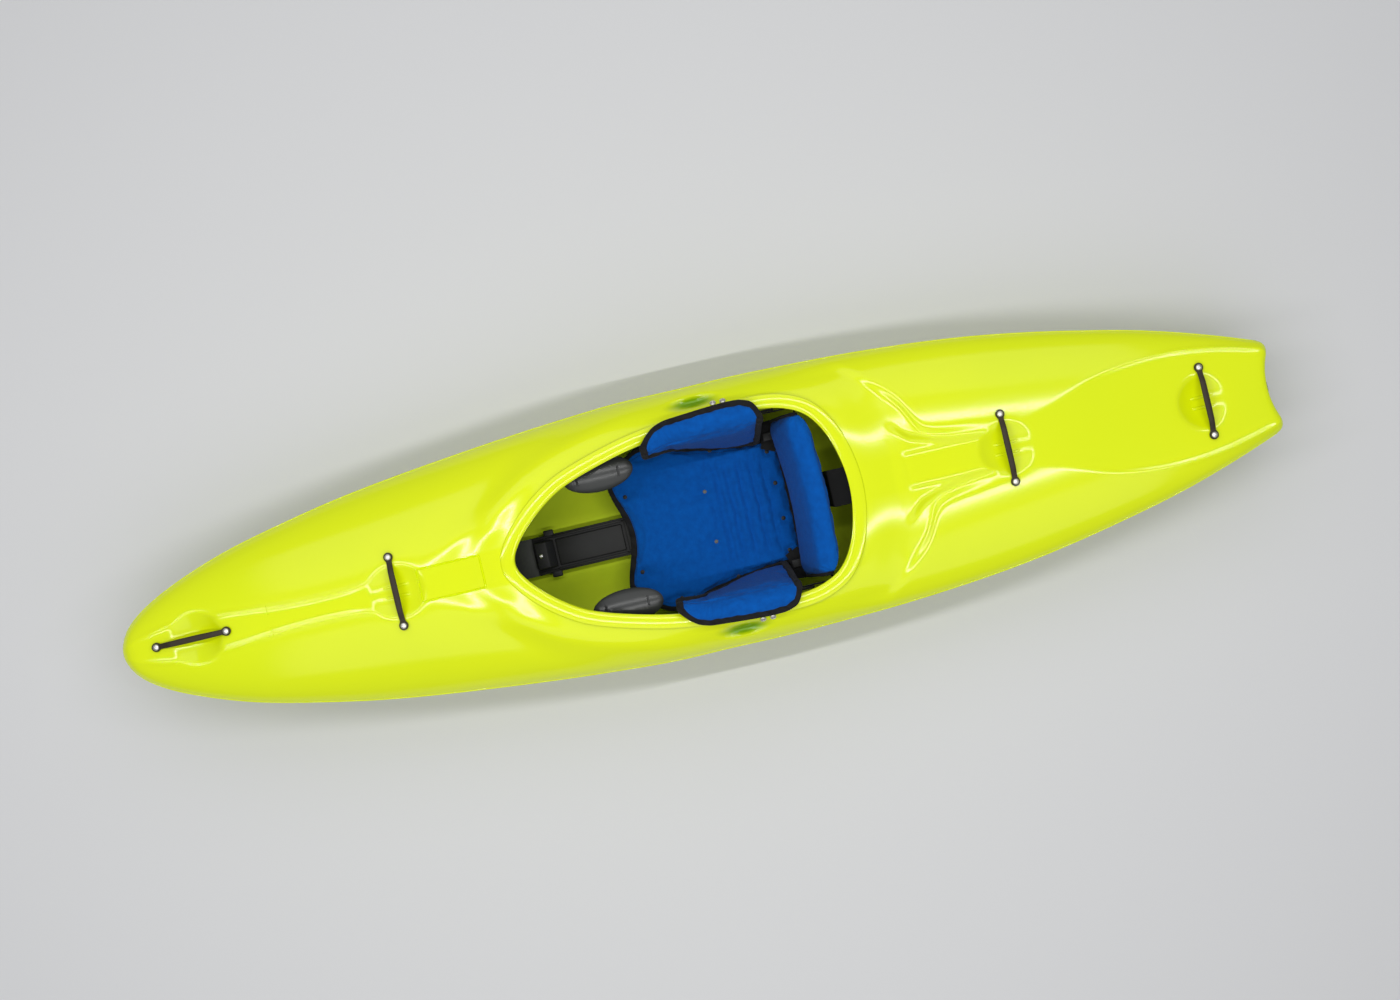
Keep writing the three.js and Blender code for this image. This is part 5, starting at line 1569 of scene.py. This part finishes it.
def hip_pad_sheet(s, t):
    """Middle surface of a hip pad: up the wing and out over the coaming."""
    x = HIP_PAD_FRONT + (HIP_PAD_REAR - HIP_PAD_FRONT) * s
    rim = coaming_top(x - SEAT_TRAVEL) + HIP_PAD_LIFT
    side = opening[:OUTLINE_STEPS + 1]
    wall = np.minimum(HIP_WALL, np.interp(x - SEAT_TRAVEL, side[:, 0], side[:, 1]) - HIP_WALL_GAP)
    foot = np.interp(x, *zip(*HIP_FOOT))
    raised = 1 - smooth_step(*HIP_FRONT_REACH, x)
    level = HIP_PAD_FOOT + (rim - HIP_FRONT_DROP - HIP_PAD_FOOT) * raised
    curl = HIP_PAD_CURL - HIP_FRONT_UNCURL * raised
    outer = np.interp(x, *zip(*HIP_EDGE))
    foot = np.minimum(foot, wall)
    y = spline_at([foot, (foot + wall) / 2, wall, wall + (outer - wall) / 4, outer], t)
    over = [rim - curl, rim + HIP_PAD_CURL / 5, rim + HIP_PAD_CURL / 4]
    z = spline_at([level, (level + rim - curl) / 2, *over], t)
    x = x - HIP_CORNER_CUT * s ** 2 * (1 - t) ** 2
    return np.stack([x, y, z], axis=-1)


def build_hip_pads():
    """Padded wings that curl over the coaming, bound in black."""
    s, t = pad_grid(64, 72)
    middle = hip_pad_sheet(s, t)
    across = np.gradient(middle, axis=1)
    normal = np.stack([np.zeros_like(s), across[..., 2], -across[..., 1]], axis=-1)
    normal /= np.maximum(np.linalg.norm(normal, axis=-1, keepdims=True), 1e-9)
    crown = (HIP_PAD_THICKNESS / 2 - 1.5) * rim_fade(s, t, 5)[..., None]
    seam = HIP_SEAM_DROP * (bell(t - HIP_SEAM, HIP_SEAM_SPREAD) * rim_fade(s, t, 3))[..., None]
    for side, word in SIDES:
        turn = np.array([1, side, 1])
        front = (middle - normal * (crown - seam)) * turn
        back = (middle + normal * crown) * turn
        pad, ids, low = padded_sheet("hip_cushion_" + word, front, back, blue_fabric)
        swell(pad, np.abs(t - HIP_SEAM) < HIP_SEAM_HALF, ids, low, *HIP_AIR)
        rim = rim_line(places_of(pad), ids, 4)
        finish_pad(pad, "seat", "hip_pad_" + word)
        edge = rim_line((normal * turn).reshape(-1, 3), ids, 4)
        binding("hip_cushion_binding_" + word, rim, PAD_BINDING, "seat", edge)


def band_point(s, t, depth, width, height, foot):
    y = width / 2 * (2 * s - 1)
    z = foot + height * t
    bow = BAND_BOW * (1 - (y / (BAND_WIDTH / 2)) ** 2)
    lean = BAND_LEAN * (z - BAND_FOOT) / BAND_HEIGHT
    return np.stack([BAND_PLACE + lean + bow + depth, y, z], axis=-1)


# Section of the back band from its foot over the front and the top, as (depth, share of height)
BAND_FRONT = [(2, 0.0), (-16, 0.05), (-24, 0.3), (-25, 0.6), (-19, 0.9), (0, 1.0), (22, 0.97), (30, 0.84)]
BAND_BACK = [(2, 0.0), (8, 0.06), (9.5, 0.3), (9.5, 0.6), (9.5, 0.74), (14, 0.8), (22, 0.82), (30, 0.84)]


def build_back_band():
    """Leaning padded roll behind the seat, rounded over its top and bound at its two ends."""
    s, t = pad_grid(96, 72)
    flat = np.zeros_like(s)
    ends = np.maximum(1 - np.abs(2 * s - 1) ** 9, 0) ** 0.5
    sheets = []
    for section in (BAND_FRONT, BAND_BACK):
        depth = spline_at([flat + d for d, _h in section], t) * (0.3 + 0.7 * ends)
        share = spline_at([flat + h for _d, h in section], t)
        share = 0.5 + (share - 0.5) * (0.9 + 0.1 * ends)
        sheets.append(band_point(s, share, depth, BAND_WIDTH, BAND_HEIGHT, BAND_FOOT))
    pad, ids, low = padded_sheet("back_band_roll", *sheets, blue_fabric)
    swell(pad, np.zeros(s.shape, bool), ids, low, *BAND_AIR)
    points = places_of(pad)
    finish_pad(pad, "backband", "backband_pad")
    for k, word in ((0, "left"), (-1, "right")):
        band = points[ids[k, 2:-2]]
        out = np.broadcast_to(np.array([0.0, 1.0 if k else -1.0, 0.0]), band.shape)
        binding("back_band_binding_" + word, band, PAD_BINDING, "backband", out, False)


def build_corner_straps():
    """Black straps with a buckle from the seat's rear corners out to the sides."""
    for side, word in SIDES:
        path = smooth_path([(x, side * y, z) for x, y, z in CORNER_ROUTE], 40)
        strap = sweep("strap", path, oval(*STRAP_SECTION), black_webbing)
        low, high = zip(BUCKLE_ENDS, sorted(side * y for y in BUCKLE_SIDES), BUCKLE_LEVELS)
        buckle = block("buckle", low, high, 3, black_plastic)
        piece = joined("corner_strap_" + word, [strap, buckle])
        outwards(piece)
        shade(with_uv(piece), 40)
        finish_piece(piece, "seat")


# Thigh braces
def build_braces():
    """Glossy domed hooks with a tab under the rail and two slots sunk into each."""
    s, t = pad_grid(64, 40)
    a, b = 2 * s - 1, 2 * t - 1
    x = BRACE_PLACE + BRACE_LENGTH / 2 * a * np.sqrt(1 - b ** 2 / 2)
    y = BRACE_OFFSET + BRACE_WIDTH / 2 * b * np.sqrt(1 - a ** 2 / 2)
    fade = np.maximum((1 - a ** 2) * (1 - b ** 2), 0)
    level = brace_level + BRACE_CROWN * fade
    half = BRACE_THICKNESS * np.sqrt(fade) / 2
    for side, word in SIDES:
        top = np.stack([x, side * y, level + half], axis=-1)
        low = np.stack([x, side * y, level - half], axis=-1)
        brace, _ids, _low = padded_sheet("thigh_hook_" + word, top, low, brace_plastic)
        outwards(brace)
        start, end = sorted(side * y for y in BRACE_TAB_SIDES)
        tab_top = BRACE_RAIL_LEVEL - BRACE_FIT
        tab = block("tab", (BRACE_PLACE - BRACE_TAB_HALF, start, tab_top - BRACE_TAB_THICKNESS),
                    (BRACE_PLACE + BRACE_TAB_HALF, end, tab_top), 2.5, brace_plastic)
        cut(brace, tab, "UNION")
        for place in BRACE_SLOTS:
            outline = rounded_box_points(place, side * BRACE_SLOT_OFFSET, *BRACE_SLOT_FORM)
            cut(brace, prism("slot", outline, (brace_level + 3, brace_level + 60), brace_plastic))
        hole = (BRACE_PLACE, side * BRACE_RAIL_OFFSET, tab_top)
        cut(brace, rod("hole", hole, (0, 0, 1), BRACE_HOLE_RADIUS, 60))
        shade(brace, 40)
        finish_piece(brace, "brace_" + word, ["thigh_brace_" + word])


# Fittings on the floor and inside the shell
def build_foam_wall(node, name, outline, y_half):
    """Foam pillar from its outline in X and Z, trimmed to the inside of the shell."""
    pillar = loft(name, [[(x, y, z) for x, z in outline] for y in (-y_half, y_half)], black_foam)
    bevelled(pillar, 4, 3)
    inside = inner_form("inside", SHELL_WALL + 0.6, black_foam, *FOAM_COUNTS)
    finish_piece(shade(cut(pillar, inside, "INTERSECT"), 40), "hull", [node])


def build_foam_walls():
    """Pillars between floor and deck, behind the seat and ahead of the rail."""
    low, high = node_box("rear_foam_wall")
    neck = low[0] + REAR_FOAM_STEP
    outline = [(low[0], 0), (high[0], 0), (high[0], DECK_PEAK), (neck, DECK_PEAK), (neck, REAR_FOAM_NOSE),
               (low[0], REAR_FOAM_NOSE)]
    build_foam_wall("rear_foam_wall", "rear_pillar", outline, high[1])
    low, high = node_box("front_foam_wall")
    top = DECK_PEAK + 10
    outline = [(low[0], 0), (high[0], 0), (high[0], top), (low[0], top)]
    build_foam_wall("front_foam_wall", "front_pillar", outline, high[1])


def build_rail():
    """Floor rail with a raised panel, its bracket and grey front plate."""
    rounded_copy("seat_rail", "floor_rail", 1.6)
    top = node_box("seat_rail")[1][2] - 4
    parts = []
    for name, y, half, (start, end), (low, high), edge in RAIL_BLOCKS:
        corners = (start, y - half, top + low), (end, y + half, top + high)
        parts.append(block(name, *corners, edge, black_plastic))
    cover = joined("rail_cover", parts)
    shade(cover, 40)
    finish_piece(cover, "hull")
    rounded_copy("rail_front_plate", "front_plate", 1.2)
    rounded_copy("rail_bracket", "rail_clamp", 2.5, segments=3)
    low, high = node_box("rail_bracket_bolt")
    head = bolt_head("clamp_bolt", 6, high[2] - low[2], 2.6, 0.4, bolt_steel)
    middle = (low + high) / 2
    set_fasteners("clamp_bolt_head", [(middle[0], middle[1], low[2])], [(0, 0, 1)], head, bolt_steel, "hull",
                  ["rail_bracket_bolt"])
    bpy.data.objects.remove(head)


def build_drain_plug():
    low, high = node_box("drain_plug")
    seat = low[0] + PLUG_SHANK
    axis, place = (1, 0, 0), (seat, 0, PLUG_LEVEL)
    plug = lathe("plug_body", PLUG_PROFILE, place, axis, 56, black_plastic)
    grip = block("grip", (seat + 4, -13, PLUG_LEVEL - 3), (high[0], 13, PLUG_LEVEL + 3), 2.2, black_plastic)
    cut(plug, grip, "UNION")
    plug.name = "plug"
    shade(plug, 35)
    finish_piece(plug, "drain_plug", ["drain_plug"])


def build_hidden_fittings():
    """Pieces that keep their plain shape, with rounded edges."""
    rounded_copy("seat_base", "seat_pan", 1.5)
    rounded_copy("foot_rest_plate", "foot_plate", 1.2)
    rounded_copy("foot_rest_foam", "foot_foam", 4)
    rounded_copy("backband_plate", "band_plate", 1.0)
    for word in ("right", "left"):
        rounded_copy("seat_wing_" + word, "seat_side_" + word, 1.2, angle=20)
        rounded_copy("foot_rest_rail_" + word, "foot_rail_" + word, 1)
        rounded_copy("backband_strap_" + word, "ladder_strap_" + word, 0.5, run=STRAP_RUN,
                     thinning=STRAP_THINNING)
        rounded_copy("ratchet_base_" + word, "ratchet_body_" + word, 0.8)
        rounded_copy("ratchet_lever_" + word, "ratchet_handle_" + word, 1.2)
        rounded_copy("thigh_brace_rail_" + word, "brace_rail_" + word, 1.5)
        rounded_copy("thigh_brace_knob_" + word, "brace_knob_" + word, 1.2)


build_shell()
build_moulding_line()
for handle in HANDLES:
    build_handle(*handle)
build_bolts()
build_seat_pad()
build_hip_pads()
build_back_band()
build_corner_straps()
build_braces()
build_foam_walls()
build_rail()
build_drain_plug()
build_hidden_fittings()


# Floor, lights and camera
CAMERA_HEIGHT = 5.0
CAMERA_X = 0.0108
CAMERA_Y = 0.0463
CAMERA_ROLL = -13.2
CAMERA_LENS = 50.75
FLOOR_REACH = 14000
FLOOR_SHADE = 0.62
FLOOR_ROUGHNESS = 0.9
WORLD_COLOUR = (0.9, 0.93, 1.0, 1)
WORLD_STRENGTH = 0.3

# Lamps on the +Y side, mirrored to the other: name, place, aim, size and power
LAMPS = [
    ("strip", (-0.4, 1.0, 4.5), (-0.4, 0, 0.3), (7.2, 0.09), 86),
    ("side_light", (0, 2.2, 2.8), (0, 0, 0.2), (4.4, 1.9), 22),
]


def build_stage():
    """Pale floor that the boat stands on."""
    paint, _tree, shader = new_material("floor_paint")
    shader.inputs["Base Color"].default_value = (FLOOR_SHADE, FLOOR_SHADE, FLOOR_SHADE, 1)
    shader.inputs["Roughness"].default_value = FLOOR_ROUGHNESS
    corners = [(-1, -1), (1, -1), (1, 1), (-1, 1)]
    corners = [(x * FLOOR_REACH, y * FLOOR_REACH, 0) for x, y in corners]
    new_object("floor", corners, [(0, 1, 2, 3)], paint)


def area_light(name, place, aim, size, power):
    lamp = bpy.data.lights.new(name, "AREA")
    lamp.shape = "RECTANGLE"
    lamp.size, lamp.size_y = size
    lamp.energy = power
    obj = placed(name, lamp)
    obj.location = place
    obj.rotation_euler = (Vector(aim) - Vector(place)).to_track_quat("-Z", "Y").to_euler()


def build_camera():
    data = bpy.data.cameras.new("camera")
    data.lens = CAMERA_LENS
    camera = placed("camera", data)
    camera.location = (CAMERA_X, CAMERA_Y, CAMERA_HEIGHT)
    camera.rotation_euler = (0, 0, math.radians(CAMERA_ROLL))
    bpy.context.scene.camera = camera


build_stage()
for side, word in SIDES:
    for name, (x, y, z), aim, size, power in LAMPS:
        area_light(f"{word}_{name}", (x, side * y, z), aim, size, power)
world = bpy.data.worlds.new("studio")
world.use_nodes = True
background = world.node_tree.nodes["Background"]
background.inputs["Color"].default_value = WORLD_COLOUR
background.inputs["Strength"].default_value = WORLD_STRENGTH
bpy.context.scene.world = world
build_camera()
bpy.context.scene.view_settings.view_transform = "Standard"
